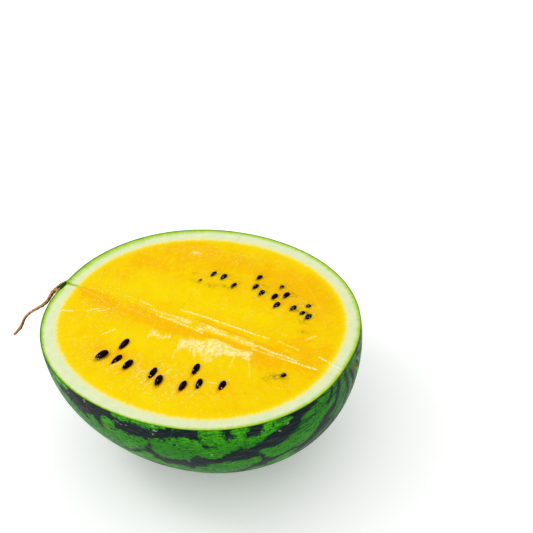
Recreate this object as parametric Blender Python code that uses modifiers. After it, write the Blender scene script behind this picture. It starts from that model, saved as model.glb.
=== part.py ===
"""One lengthwise half of a yellow-fleshed watermelon, with its dried stem and its seeds.

The half rests on its rounded skin, cut face up, on a small flat ground spot. Units are
metres, +Z is up, the origin is the centre of the ground spot, and the length of the fruit
runs along X with the stem end at -X and the blossom end at +X.
"""

import math
from collections import namedtuple

import bmesh
import bpy
from mathutils import Matrix, Vector

MM = 0.001

# Grown body: half-axes along its length, its width and its depth.
HALF_LENGTH = 125.0 * MM
HALF_WIDTH = 105.5 * MM
HALF_DEPTH = 104.5 * MM
SHOULDER_FULLNESS = 0.0088
SIDE_FULLNESS = 0.005
END_FLATTENING = 1.2 * MM
END_SPREAD = 16.0 * MM

# Heights above the surface that the half rests on, and the knife's miss of the fruit's axis.
AXIS_HEIGHT = 103.2 * MM
CUT_ABOVE_AXIS = 7.2 * MM
CUT_HEIGHT = AXIS_HEIGHT + CUT_ABOVE_AXIS

# Raised corky nub that the stem grows from, at the stem end just under the cut.
NUB_RISE = 1.2 * MM
NUB_SPREAD = 3.4 * MM
NUB_Y = -3.0 * MM
NUB_Z = 2.0 * MM

# Fineness of the body: rings between its two ends, drawn closer together near each end.
BODY_SEGMENTS = 64
BODY_RINGS = 36
RING_CROWDING = 0.3

# Clear gap between pieces that touch.
FIT_GAP = 0.3 * MM

# Side of the blocks that stand for the knife cut and for the surface underneath.
BLOCK_SIDE = 400.0 * MM

# Dried stem, in millimetres from the middle of the fruit: x, y, z and the stem's radius.
STEM_PATH = (
    (-130.2, -5.3, 0.8, 1.4),
    (-133.5, -7.2, -2.3, 1.15),
    (-136.7, -9.0, -7.6, 1.05),
    (-140.3, -11.1, -12.3, 1.0),
    (-145.3, -14.0, -16.0, 0.9),
    (-150.9, -17.2, -19.4, 0.8),
    (-154.7, -19.4, -22.5, 0.8),
    (-158.4, -21.5, -27.1, 0.8),
    (-160.8, -22.9, -32.2, 0.85),
    (-163.0, -24.2, -36.1, 0.95),
    (-169.3, -27.9, -43.3, 0.9),
)
# Two short roots join the first point of the stem to the skin on each side of the nub.
STEM_ROOTS = (
    ((-127.5, -2.4, 3.9, 1.0), (-124.8, 1.2, 4.8, 0.9), (-122.0, 4.4, 5.2, 1.0)),
    ((-127.2, -7.3, 1.9, 1.0), (-124.6, -8.6, 3.0, 0.9), (-121.6, -9.8, 3.8, 1.0)),
)
STEM_SMOOTHING = 2

# Seed outline: a drop, pointed at its scar end, of unit length, width and thickness.
SEED_SEGMENTS = 12
SEED_RINGS = 8
SEED_TAPER = 0.3
SEED_THICKNESS = 2.4

# Where each seed lies: x, y of its middle, the heading of its blunt end, its length and width,
# how far its middle stands above the cut face, the rise of its blunt end and its roll.
# Lengths are in millimetres and angles in degrees.
SeedPlace = namedtuple("SeedPlace", "x y heading length width rise pitch roll")

NEAR_SEEDS = (
    SeedPlace(-47.9, -59.3, 69, 11.6, 7.0, 1.1, 0, 0),
    SeedPlace(-39.1, -42.9, 85, 11.8, 4.8, 0.3, 2, 8),
    SeedPlace(-35.3, -58.4, 72, 10.4, 4.2, 0.0, 8, 33),
    SeedPlace(-24.6, -60.0, 81, 11.0, 5.2, 0.5, 0, 10),
    SeedPlace(-2.9, -60.2, 89, 11.0, 4.2, 0.4, 3, 30),
    SeedPlace(5.2, -65.0, 102, 11.0, 5.4, 0.6, 0, 4),
    SeedPlace(24.0, -62.9, 90, 10.0, 4.4, 0.4, 5, 18),
    SeedPlace(24.4, -45.2, 93, 11.2, 4.4, 0.6, 2, 30),
    SeedPlace(33.8, -56.6, 97, 9.7, 4.3, 0.3, 4, 34),
    SeedPlace(49.8, -51.6, 88, 9.1, 4.3, 0.3, 4, 18),
    SeedPlace(85.0, -26.9, 81, 8.2, 4.6, -1.15, 18, 0),
)
FAR_SEEDS = (
    SeedPlace(-22.4, 38.6, 95, 8.4, 4.2, -1.6, 15, 0),
    SeedPlace(-16.3, 49.6, 89, 9.0, 4.2, -0.9, 12, 20),
    SeedPlace(-7.4, 49.6, 87, 9.6, 4.8, -0.7, 12, 0),
    SeedPlace(5.2, 43.7, 89, 8.8, 4.2, -1.05, 13, 14),
    SeedPlace(19.4, 59.0, 90, 8.8, 4.6, -0.95, 12, 8),
    SeedPlace(21.7, 48.4, 87, 9.0, 4.6, -0.85, 12, 6),
    SeedPlace(29.4, 43.9, 92, 9.2, 4.6, -0.8, 12, 6),
    SeedPlace(40.6, 43.8, 89, 9.5, 4.8, -0.7, 12, 0),
    SeedPlace(48.2, 48.5, 86, 9.6, 4.6, -0.7, 12, 8),
    SeedPlace(46.4, 36.0, 86, 9.6, 4.8, -0.7, 12, 0),
    SeedPlace(40.7, 55.3, 91, 8.0, 4.4, -1.3, 15, 0),
    SeedPlace(59.7, 37.5, 87, 9.2, 4.6, -0.8, 12, 8),
    SeedPlace(68.5, 35.3, 85, 7.2, 4.2, -1.0, 14, 8),
    SeedPlace(69.2, 43.9, 84, 6.4, 4.4, -1.0, 22, 0),
    SeedPlace(74.3, 33.2, 85, 9.4, 4.8, -0.7, 12, 0),
)

# Colours as linear RGB, then roughness.
SKIN_GREEN = (0.035, 0.115, 0.028, 0.42)
FLESH_YELLOW = (0.95, 0.62, 0.012, 0.5)
STEM_BROWN = (0.30, 0.13, 0.055, 0.8)
SEED_BLACK = (0.012, 0.006, 0.006, 0.22)


def clear_scene():
    """Remove whatever objects the file starts with."""
    for existing in list(bpy.data.objects):
        bpy.data.objects.remove(existing, do_unlink=True)


def make_collection(name):
    """A new collection under the scene."""
    collection = bpy.data.collections.new(name)
    bpy.context.scene.collection.children.link(collection)
    return collection


def make_material(name, finish):
    """A plain Principled material from a linear colour and a roughness."""
    material = bpy.data.materials.new(name)
    material.use_nodes = True
    shader = material.node_tree.nodes["Principled BSDF"]
    shader.inputs["Base Color"].default_value = (*finish[:3], 1.0)
    shader.inputs["Roughness"].default_value = finish[3]
    shader.inputs["Metallic"].default_value = 0.0
    material.diffuse_color = (*finish[:3], 1.0)
    return material


def make_object(name, bm, collection, materials, material_index=0):
    """An object from a bmesh, with its materials, in a collection."""
    mesh = bpy.data.meshes.new(name)
    for face in bm.faces:
        face.material_index = material_index
    bm.to_mesh(mesh)
    bm.free()
    for material in materials:
        mesh.materials.append(material)
    made = bpy.data.objects.new(name, mesh)
    collection.objects.link(made)
    return made


def mark_cutter(cutter):
    """Show a cutter as a wire guide only."""
    cutter.hide_render = True
    cutter.display_type = "WIRE"


def cut_away(target, cutter):
    """Take the cutter's shape out of the target."""
    cut = target.modifiers.new(cutter.name, "BOOLEAN")
    cut.operation = "DIFFERENCE"
    cut.solver = "EXACT"
    cut.object = cutter
    return cut


def crowd_towards_ends(direction):
    """Turn a direction a little towards the nearer end of the fruit."""
    angle = math.acos(max(-1.0, min(1.0, direction.x)))
    side = Vector((0.0, direction.y, direction.z))
    if side.length < 1e-9:
        return direction.copy()
    side.normalize()
    crowded = angle - RING_CROWDING * math.sin(2 * angle)
    return Vector((math.cos(crowded), 0.0, 0.0)) + side * math.sin(crowded)


def bell(y, z, spread):
    """A smooth bump of height one around the X axis."""
    return math.exp(-(y**2 + z**2) / (2 * spread**2))


def skin_point(direction, growth=0.0):
    """The skin's point in a direction from the middle of the fruit, grown outwards if asked."""
    x, y, z = direction
    # Two waves run round the outline seen from above. The first one is the cosine of four times
    # the heading and fills the four shoulders. The second is the sine of three times the angle
    # off the fruit's length and lets the fruit lean to one side.
    shoulder = (8 * x**4 - 8 * x**2 + 1) * (1 - z**2)
    lean = 3 * y - 4 * y**3
    swell = 1 - SHOULDER_FULLNESS * shoulder - SIDE_FULLNESS * lean
    point = Vector((HALF_LENGTH * x, HALF_WIDTH * y, HALF_DEPTH * z)) * swell
    flattening = END_FLATTENING * bell(point.y, point.z, END_SPREAD)
    point.x -= math.copysign(flattening, x)
    if x < 0:
        point.x -= NUB_RISE * bell(point.y - NUB_Y, point.z - NUB_Z, NUB_SPREAD)
    outward = Vector((x / HALF_LENGTH, y / HALF_WIDTH, z / HALF_DEPTH)).normalized()
    return point + outward * growth + Vector((0.0, 0.0, AXIS_HEIGHT))


def body_shape(growth=0.0):
    """The whole fruit's body as a closed bmesh, its two poles on the X axis."""
    bm = bmesh.new()
    bmesh.ops.create_uvsphere(bm, u_segments=BODY_SEGMENTS, v_segments=BODY_RINGS, radius=1.0)
    bmesh.ops.rotate(bm, verts=bm.verts, matrix=Matrix.Rotation(math.radians(90), 3, "Y"))
    for vertex in bm.verts:
        vertex.co = skin_point(crowd_towards_ends(vertex.co.normalized()), growth)
    return bm


def block_shape(low_z, high_z):
    """A block between two heights, wide enough to pass the whole fruit."""
    bm = bmesh.new()
    bmesh.ops.create_cube(bm, size=1.0)
    bmesh.ops.scale(bm, vec=(BLOCK_SIDE, BLOCK_SIDE, high_z - low_z), verts=bm.verts)
    bmesh.ops.translate(bm, vec=(0.0, 0.0, (low_z + high_z) / 2), verts=bm.verts)
    return bm


def seed_shape():
    """A flat drop of unit length, width and thickness, its pointed end at -X."""
    bm = bmesh.new()
    bmesh.ops.create_uvsphere(bm, u_segments=SEED_SEGMENTS, v_segments=SEED_RINGS, radius=0.5)
    bmesh.ops.rotate(bm, verts=bm.verts, matrix=Matrix.Rotation(math.radians(90), 3, "Y"))
    for vertex in bm.verts:
        fullness = 1 + SEED_TAPER * 2 * vertex.co.x
        vertex.co.y *= fullness
        vertex.co.z *= fullness
    widest = max(abs(vertex.co.y) for vertex in bm.verts)
    thickest = max(abs(vertex.co.z) for vertex in bm.verts)
    bmesh.ops.scale(bm, vec=(1.0, 0.5 / widest, 0.5 / thickest), verts=bm.verts)
    return bm


def seed_pose(place):
    """Where a seed's middle is, and how the seed is turned."""
    turn = (
        Matrix.Rotation(math.radians(place.heading), 3, "Z")
        @ Matrix.Rotation(math.radians(-place.pitch), 3, "Y")
        @ Matrix.Rotation(math.radians(place.roll), 3, "X")
    )
    middle = Vector((place.x * MM, place.y * MM, CUT_HEIGHT + place.rise * MM))
    return middle, turn


def seed_size(place, gap=0.0):
    """Length, width and thickness of a seed, with a gap added all round."""
    return (
        place.length * MM + 2 * gap,
        place.width * MM + 2 * gap,
        SEED_THICKNESS * MM + 2 * gap,
    )


def socket_shapes(places):
    """Every seed's shape grown by the fit gap, as one bmesh of separate closed drops."""
    sockets = bmesh.new()
    for place in places:
        middle, turn = seed_pose(place)
        drop = seed_shape()
        size = Matrix.Diagonal(seed_size(place, FIT_GAP)).to_4x4()
        drop.transform(Matrix.Translation(middle) @ turn.to_4x4() @ size)
        carrier = bpy.data.meshes.new("socket")
        drop.to_mesh(carrier)
        drop.free()
        sockets.from_mesh(carrier)
        bpy.data.meshes.remove(carrier)
    return sockets


def build_melon_half(collection, cutters, skin, flesh):
    """The grown body, cut level, with a flat ground spot and an open socket for each seed."""
    melon = make_object("melon_half", body_shape(), collection, (skin, flesh))
    melon.data.shade_smooth()
    knife = make_object(
        "knife_cut", block_shape(CUT_HEIGHT, CUT_HEIGHT + BLOCK_SIDE), cutters, (skin, flesh), 1
    )
    ground = make_object("ground_cut", block_shape(-BLOCK_SIDE, 0.0), cutters, (skin, flesh))
    sockets = make_object(
        "seed_sockets", socket_shapes(NEAR_SEEDS + FAR_SEEDS), cutters, (skin, flesh), 1
    )
    for cutter in (knife, ground, sockets):
        mark_cutter(cutter)
        cut_away(melon, cutter)
    return melon


def stem_skeleton():
    """Points, radii and edges of the stem: one long run and two short roots."""
    knots = list(STEM_PATH)
    edges = [(i, i + 1) for i in range(len(STEM_PATH) - 1)]
    for root in STEM_ROOTS:
        previous = 0
        for knot in root:
            knots.append(knot)
            edges.append((previous, len(knots) - 1))
            previous = len(knots) - 1
    points = [Vector(knot[:3]) * MM + Vector((0.0, 0.0, AXIS_HEIGHT)) for knot in knots]
    radii = [knot[3] * MM for knot in knots]
    return points, radii, edges


def build_stem(collection, cutters, material):
    """The dried stem: a skinned skeleton, trimmed where its roots meet the skin."""
    points, radii, edges = stem_skeleton()
    mesh = bpy.data.meshes.new("stem")
    mesh.from_pydata(points, edges, [])
    mesh.materials.append(material)
    stem = bpy.data.objects.new("stem", mesh)
    collection.objects.link(stem)
    skin = stem.modifiers.new("bark", "SKIN")
    skin.use_smooth_shade = True
    for knot, radius in zip(mesh.skin_vertices[0].data, radii):
        knot.radius = (radius, radius)
    mesh.skin_vertices[0].data[0].use_root = True
    rounding = stem.modifiers.new("rounding", "SUBSURF")
    rounding.levels = STEM_SMOOTHING
    rounding.render_levels = STEM_SMOOTHING
    clearance = make_object("stem_clearance", body_shape(FIT_GAP), cutters, (material,))
    mark_cutter(clearance)
    cut_away(stem, clearance)
    return stem


def build_seeds(collection, material):
    """One object for each seed, all of one drop shape at their own sizes."""
    drop = bpy.data.meshes.new("seed_drop")
    bm = seed_shape()
    bm.to_mesh(drop)
    bm.free()
    drop.materials.append(material)
    drop.shade_smooth()
    seeds = []
    for number, place in enumerate(NEAR_SEEDS + FAR_SEEDS, start=1):
        seed = bpy.data.objects.new(f"seed_{number:02d}", drop)
        middle, turn = seed_pose(place)
        seed.location = middle
        seed.rotation_euler = turn.to_euler()
        seed.scale = seed_size(place)
        collection.objects.link(seed)
        seeds.append(seed)
    return seeds


def main():
    """Build the half melon, its stem and its seeds under one parent."""
    clear_scene()
    parts = make_collection("yellow_watermelon_half")
    cutters = make_collection("cutters")
    skin = make_material("skin", SKIN_GREEN)
    flesh = make_material("flesh", FLESH_YELLOW)
    bark = make_material("dried_stem", STEM_BROWN)
    seed_coat = make_material("seed_coat", SEED_BLACK)
    ground_spot = bpy.data.objects.new("ground_spot", None)
    parts.objects.link(ground_spot)
    pieces = [build_melon_half(parts, cutters, skin, flesh)]
    pieces.append(build_stem(parts, cutters, bark))
    pieces.extend(build_seeds(parts, seed_coat))
    for piece in pieces:
        piece.parent = ground_spot
    bpy.context.view_layer.update()


main()
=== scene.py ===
"""Looks of one lengthwise half of a yellow-fleshed watermelon, its dried stem and its seeds.

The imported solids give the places. The visible pieces are built around them: the half with its
striped skin and its moist cut face, every seed in its own socket, and the ridged, dry stem.
Lengths in the classes of shapes are millimetres measured from the middle of the whole fruit, with
the stem end at -X and the blossom end at +X, and they become metres where a mesh is made. Lengths
in the effects, the finishes and the studio are metres.
"""

import logging
import math
from collections.abc import Iterable, Sequence
from dataclasses import dataclass, field, replace
from enum import Enum, StrEnum, auto
from typing import NamedTuple, TypeVar

import bpy
import numpy as np
from mathutils import Euler, Matrix, Vector, noise
from mathutils.geometry import delaunay_2d_cdt

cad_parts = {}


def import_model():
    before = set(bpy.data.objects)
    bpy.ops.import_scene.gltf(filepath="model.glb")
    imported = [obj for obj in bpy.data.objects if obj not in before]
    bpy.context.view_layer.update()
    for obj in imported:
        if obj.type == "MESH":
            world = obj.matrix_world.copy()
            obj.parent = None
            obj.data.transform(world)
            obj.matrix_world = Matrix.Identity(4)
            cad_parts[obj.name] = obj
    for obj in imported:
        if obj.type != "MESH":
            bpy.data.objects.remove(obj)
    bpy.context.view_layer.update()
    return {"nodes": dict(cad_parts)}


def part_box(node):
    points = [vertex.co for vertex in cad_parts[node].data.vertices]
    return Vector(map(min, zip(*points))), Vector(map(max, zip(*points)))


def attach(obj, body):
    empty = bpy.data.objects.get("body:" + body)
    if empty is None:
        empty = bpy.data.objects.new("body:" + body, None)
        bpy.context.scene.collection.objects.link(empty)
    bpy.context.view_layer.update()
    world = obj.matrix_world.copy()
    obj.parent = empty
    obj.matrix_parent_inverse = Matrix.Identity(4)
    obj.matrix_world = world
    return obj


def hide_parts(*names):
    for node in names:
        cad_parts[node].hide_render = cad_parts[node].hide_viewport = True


MM = 0.001
BODY = "root"

Array = np.ndarray
Colour = tuple[float, float, float]
Faces = list[tuple[int, ...]]
Point = tuple[float, float]
Point3 = tuple[float, float, float]
Row = TypeVar("Row", bound=tuple)
Socket = bpy.types.NodeSocket

log = logging.getLogger("yellow_watermelon_half")


class Trait(StrEnum):
    """Measures stored on the vertices of a piece, which its materials read."""

    LIGHT_PATCH = auto()
    PALE_MARK = auto()
    CORKY_MARK = auto()
    STEM_GREEN = auto()
    MERIDIAN = auto()
    END_NEARNESS = auto()
    RIM_DEPTH = auto()
    LIME_DEPTH = auto()
    LINE_DEPTH = auto()
    FLESH_DEPTH = auto()
    GRAIN = auto()
    FAN = auto()
    WARMTH = auto()
    SMUDGE = auto()
    TORN = auto()
    STRAND = auto()
    GLINTS = auto()
    THREADS = auto()
    VEIN = auto()
    SEED_GLOW = auto()
    BURIED = auto()
    CORE = auto()
    SEED_TIP = auto()
    BARK_GROOVE = auto()
    BARK_SHADE = auto()


class Layer(Enum):
    """Material slots of the half's mesh."""

    SKIN = 0
    FACE = 1


def srgb(red: float, green: float, blue: float) -> Colour:
    """Turn an 8-bit screen colour into a linear one.

    Args:
        red: Red from 0 to 255.
        green: Green from 0 to 255.
        blue: Blue from 0 to 255.

    Returns:
        The linear colour, from 0 to 1.
    """
    shares = (channel / 255.0 for channel in (red, green, blue))
    return tuple(s / 12.92 if s <= 0.04045 else ((s + 0.055) / 1.055) ** 2.4 for s in shares)


def table(kind: type[Row], *rows: tuple) -> tuple[Row, ...]:
    """Name plain rows of numbers as rows of one kind."""
    return tuple(kind(*row) for row in rows)


def smooth_step(low: float, high: float, values: Array) -> Array:
    """Rise smoothly from 0 at low to 1 at high.

    Args:
        low: Where the rise starts.
        high: Where it ends; below low, the curve falls instead.
        values: Numbers to map.

    Returns:
        The mapped numbers.
    """
    share = np.clip((values - low) / (high - low), 0.0, 1.0)
    return share * share * (3.0 - 2.0 * share)


def bell(values: Array, spread: float) -> Array:
    """A smooth bump of height one at zero, with the given spread."""
    return np.exp(-((values / spread) ** 2) / 2.0)


class PathReading(NamedTuple):
    """How points lie beside a path: how far, on which side, and how far along it."""

    distance: Array
    side: Array
    along: Array


def read_path(points: Array, path: Sequence[Point]) -> PathReading:
    """Measure points against an open path of straight stretches.

    Args:
        points: Points, one row each.
        path: The path's corners.

    Returns:
        The distance of each point, the sign of its side (left is positive), and the length
        along the path of its nearest place.
    """
    corners = np.asarray(path, float)
    best = np.full(len(points), np.inf)
    side = np.ones(len(points))
    along = np.zeros(len(points))
    travelled = 0.0
    for start, end in zip(corners[:-1], corners[1:]):
        run = end - start
        length = float(np.hypot(*run))
        offset = points - start
        share = np.clip(offset @ run / length**2, 0.0, 1.0)
        gap = np.hypot(*(offset - share[:, None] * run).T)
        nearer = gap < best
        best[nearer] = gap[nearer]
        turn = run[0] * offset[:, 1] - run[1] * offset[:, 0]
        side[nearer] = np.where(turn[nearer] < 0.0, -1.0, 1.0)
        along[nearer] = travelled + share[nearer] * length
        travelled += length
    return PathReading(best, side, along)


def inside_outline(points: Array, outline: Sequence[Point]) -> Array:
    """Signed distance to a closed outline.

    Args:
        points: Points, one row each.
        outline: The outline's corners in order.

    Returns:
        Millimetres inside the outline, negative outside it.
    """
    corners = np.asarray(outline, float)
    inside = np.zeros(len(points), bool)
    for start, end in zip(corners, np.roll(corners, -1, axis=0)):
        spans = (start[1] > points[:, 1]) != (end[1] > points[:, 1])
        slope = (end[0] - start[0]) / (end[1] - start[1] + 1e-12)
        inside ^= spans & (points[:, 0] < start[0] + slope * (points[:, 1] - start[1]))
    edge = read_path(points, [*outline, outline[0]]).distance
    return np.where(inside, edge, -edge)


def ring_quads(rings: int, count: int) -> Faces:
    """Join rings of vertices that follow each other.

    Args:
        rings: How many rings there are.
        count: Vertices in each ring.

    Returns:
        The quads, each starting on the lower ring.
    """
    faces = []
    for low in range(0, (rings - 1) * count, count):
        for column in range(count):
            following = low + (column + 1) % count
            faces.append((low + column, following, following + count, low + column + count))
    return faces


def write_trait(mesh: bpy.types.Mesh, trait: Trait, values: Array) -> None:
    """Store one measure, a number or a vector, on every vertex of a mesh.

    Args:
        mesh: The mesh that carries it.
        trait: Which measure it is.
        values: One number or one row of three numbers for each vertex.
    """
    is_vector = values.ndim == 2
    layer = mesh.attributes.new(trait.value, "FLOAT_VECTOR" if is_vector else "FLOAT", "POINT")
    layer.data.foreach_set("vector" if is_vector else "value", values.astype(np.float32).ravel())


def link_object(name: str, mesh: bpy.types.Mesh) -> bpy.types.Object:
    """Put a mesh in the scene under a name."""
    piece = bpy.data.objects.new(name, mesh)
    bpy.context.scene.collection.objects.link(piece)
    return piece


@dataclass(frozen=True)
class Value:
    """The output of a shader node, which can be reckoned with like a number."""

    graph: "Graph"
    socket: Socket

    def __add__(self, other: "Term") -> "Value":
        """Add a number or a value."""
        return self.graph.math("ADD", self, other)

    def __sub__(self, other: "Term") -> "Value":
        """Take a number or a value away."""
        return self.graph.math("SUBTRACT", self, other)

    def __rsub__(self, other: float) -> "Value":
        """Take this value away from a number."""
        return self.graph.math("SUBTRACT", other, self)

    def __mul__(self, other: "Term") -> "Value":
        """Multiply by a number or a value."""
        return self.graph.math("MULTIPLY", self, other)

    def __truediv__(self, other: "Term") -> "Value":
        """Divide by a number or a value."""
        return self.graph.math("DIVIDE", self, other)

    def __rtruediv__(self, other: float) -> "Value":
        """Divide a number by this value."""
        return self.graph.math("DIVIDE", other, self)

    def __or__(self, other: "Term") -> "Value":
        """The larger of two values."""
        return self.graph.math("MAXIMUM", self, other)

    def rise(self, low: float, high: float, least: float = 0.0, most: float = 1.0) -> "Value":
        """Map the value smoothly from one range to another.

        Args:
            low: Where the least result is reached.
            high: Where the most is reached; it may lie below low.
            least: The result at low.
            most: The result at high.

        Returns:
            The mapped value.
        """
        feeds = {"Value": self, "From Min": low, "From Max": high, "To Min": least, "To Max": most}
        return self.graph.take("ShaderNodeMapRange", "Result", feeds, interpolation_type="SMOOTHSTEP")

    def blend(self, low: "Term", high: "Term") -> "Value":
        """Mix two colours, with this value as the share of the second."""
        return self.graph.take("ShaderNodeMix", 2, {0: self, 6: low, 7: high}, data_type="RGBA")

    def stretch(self, *scale: float) -> "Value":
        """Scale a vector along each axis."""
        return self.graph.take("ShaderNodeVectorMath", 0, {0: self, 1: scale}, operation="MULTIPLY")


Term = Value | float | Colour


class Graph:
    """A shader node tree with short ways to add nodes and join them."""

    def __init__(self, tree: bpy.types.NodeTree) -> None:
        """Take over a tree and clear the nodes that it starts with."""
        self.tree = tree
        tree.nodes.clear()

    def add(self, kind: str, feeds: dict[str | int, Term], **settings: object) -> bpy.types.Node:
        """Add a node.

        Args:
            kind: Blender's name of the node.
            feeds: What goes into its inputs, by name or number.
            **settings: Its other properties.

        Returns:
            The node.
        """
        node = self.tree.nodes.new(kind)
        for name, setting in settings.items():
            setattr(node, name, setting)
        for name, term in feeds.items():
            socket = node.inputs[name]
            if isinstance(term, Value):
                self.tree.links.new(term.socket, socket)
            else:
                socket.default_value = (*term, 1.0) if socket.type == "RGBA" else term
        return node

    def take(self, kind: str, output: str | int, feeds: dict[str | int, Term], **settings: object) -> Value:
        """Add a node and take one of its outputs, by name or number."""
        return Value(self, self.add(kind, feeds, **settings).outputs[output])

    def math(self, operation: str, *terms: Term, **settings: object) -> Value:
        """The result of a Math node on the given terms."""
        return self.take("ShaderNodeMath", 0, dict(enumerate(terms)), operation=operation, **settings)


class MaterialGraph(Graph):
    """The shader nodes of one material."""

    def __init__(self, name: str) -> None:
        """Make a material of that name and take over its nodes."""
        self.material = bpy.data.materials.new(name)
        self.material.use_nodes = True
        super().__init__(self.material.node_tree)

    def trait(self, trait: Trait, output: str = "Fac") -> Value:
        """What the vertices store as a trait, a number unless the output is Vector."""
        return self.take("ShaderNodeAttribute", output, {}, attribute_name=trait.value)

    def place(self) -> Value:
        """The surface's own coordinates, in metres."""
        return self.take("ShaderNodeTexCoord", "Object", {})

    def bump(self, height: Value, distance: float, **onto: Value) -> Value:
        """A normal that follows a height.

        Args:
            height: The height, from 0 to 1.
            distance: The depth in metres that one unit of height stands for.
            **onto: A Normal to build on, if there is one.

        Returns:
            The new normal.
        """
        feeds = {"Height": height, "Distance": distance, "Strength": 1.0, **onto}
        return self.take("ShaderNodeBump", "Normal", feeds)

    def surface(self, feeds: dict[str, Term]) -> bpy.types.Material:
        """Finish the material with a Principled shader.

        Args:
            feeds: What goes into the shader's named inputs.

        Returns:
            The material.
        """
        shader = self.take("ShaderNodeBsdfPrincipled", "BSDF", feeds)
        self.add("ShaderNodeOutputMaterial", {"Surface": shader})
        return self.material


@dataclass(frozen=True)
class Effect:
    """A shader node group that several materials place, each with its own values."""

    group: bpy.types.NodeTree

    @classmethod
    def start(cls, name: str, output: str, **numbers: float) -> tuple["Effect", dict[str, Value]]:
        """Make a group with a vector, some numbers and one output.

        Args:
            name: The group's name.
            output: Its output's name.
            **numbers: Its number inputs with their usual values.

        Returns:
            The effect, and its inputs by name.
        """
        group = bpy.data.node_groups.new(name, "ShaderNodeTree")
        group.interface.new_socket("Vector", in_out="INPUT", socket_type="NodeSocketVector")
        for label, usual in numbers.items():
            socket = group.interface.new_socket(label, in_out="INPUT", socket_type="NodeSocketFloat")
            socket.default_value = usual
        group.interface.new_socket(output, in_out="OUTPUT", socket_type="NodeSocketFloat")
        graph = Graph(group)
        given = graph.add("NodeGroupInput", {})
        return cls(group), {socket.name: Value(graph, socket) for socket in given.outputs}

    def end(self, value: Value) -> "Effect":
        """Join the group's output to its result."""
        value.graph.add("NodeGroupOutput", {0: value})
        return self

    def __call__(self, vector: Value, **numbers: float) -> Value:
        """Place the group in a material.

        Args:
            vector: Coordinates in metres.
            **numbers: Its other inputs, by their names in small letters.

        Returns:
            The group's output.
        """
        feeds = {"Vector": vector, **{name.title(): number for name, number in numbers.items()}}
        return vector.graph.take("ShaderNodeGroup", 0, feeds, node_tree=self.group)


@dataclass(frozen=True)
class EffectKit:
    """The shared effects: soft mottling, round speckles, broken veins and jagged edges."""

    mottle: Effect
    speckles: Effect
    veins: Effect
    jag: Effect

    @staticmethod
    def _mottle() -> Effect:
        """Soft uneven patches of a given size.

        Returns:
            The effect.
        """
        effect, given = Effect.start("mottle", "Mask", Size=0.005, Contrast=1.5, Detail=3.0)
        vector = given["Vector"]
        feeds = {"Vector": vector, "Scale": 1.0 / given["Size"], "Detail": given["Detail"], "Roughness": 0.55}
        patches = vector.graph.take("ShaderNodeTexNoise", "Fac", feeds)
        spread = (patches - 0.5) * given["Contrast"]
        return effect.end(vector.graph.math("ADD", spread, 0.5, use_clamp=True))

    @staticmethod
    def _speckles() -> Effect:
        """Round dots, present in a share of the cells of a given spacing.

        Returns:
            The effect.
        """
        effect, given = Effect.start("speckles", "Mask", Spacing=0.0015, Radius=0.35, Share=0.3)
        graph = given["Vector"].graph
        feeds = {"Vector": given["Vector"], "Scale": 1.0 / given["Spacing"]}
        cells = graph.add("ShaderNodeTexVoronoi", feeds)
        reach = given["Radius"] - Value(graph, cells.outputs["Distance"])
        dot = (reach / given["Radius"]).rise(0.0, 0.5)
        lottery = graph.take("ShaderNodeSeparateColor", 0, {0: Value(graph, cells.outputs["Color"])})
        return effect.end(dot * graph.math("LESS_THAN", lottery, given["Share"]))

    @staticmethod
    def _veins() -> Effect:
        """Thin bent lines, broken up so that only a share of them shows.

        Returns:
            The effect.
        """
        effect, given = Effect.start("veins", "Mask", Size=0.006, Width=0.06, Share=0.5)
        vector = given["Vector"]
        take = vector.graph.take
        scale = 1.0 / given["Size"]
        drift = take("ShaderNodeTexNoise", "Color", {"Vector": vector, "Scale": scale, "Detail": 3.0})
        centred = take("ShaderNodeVectorMath", 0, {0: drift, 1: (0.5, 0.5, 0.5)}, operation="SUBTRACT")
        feeds = {0: centred, "Scale": given["Size"] * 1.6}
        bend = take("ShaderNodeVectorMath", 0, feeds, operation="SCALE")
        bent = take("ShaderNodeVectorMath", 0, {0: vector, 1: bend}, operation="ADD")
        feeds = {"Vector": bent, "Scale": scale}
        edges = take("ShaderNodeTexVoronoi", "Distance", feeds, feature="DISTANCE_TO_EDGE")
        breaks = take("ShaderNodeTexNoise", "Fac", {"Vector": vector, "Scale": scale, "Detail": 2.0})
        shown = (given["Share"] - breaks + 0.03).rise(0.0, 0.08)
        return effect.end((edges / given["Width"]).rise(1.0, 0.3) * shown)

    @staticmethod
    def _jag() -> Effect:
        """A rough offset from about -1 to 1, for edges that are neither straight nor smooth.

        Returns:
            The effect.
        """
        effect, given = Effect.start("jag", "Offset", Size=0.002, Bite=0.5)
        take = given["Vector"].graph.take
        feeds = {"Vector": given["Vector"], "Scale": 1.0 / given["Size"]}
        teeth = take("ShaderNodeTexVoronoi", "Distance", feeds)
        drift = take("ShaderNodeTexNoise", "Fac", {**feeds, "Detail": 3.0, "Roughness": 0.6})
        feeds = {0: given["Bite"], 2: (drift - 0.5) * 3.0, 3: (teeth - 0.45) * 2.2}
        return effect.end(take("ShaderNodeMix", 0, feeds, data_type="FLOAT"))

    @classmethod
    def build(cls) -> "EffectKit":
        """Build every group once."""
        return cls(cls._mottle(), cls._speckles(), cls._veins(), cls._jag())


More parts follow.
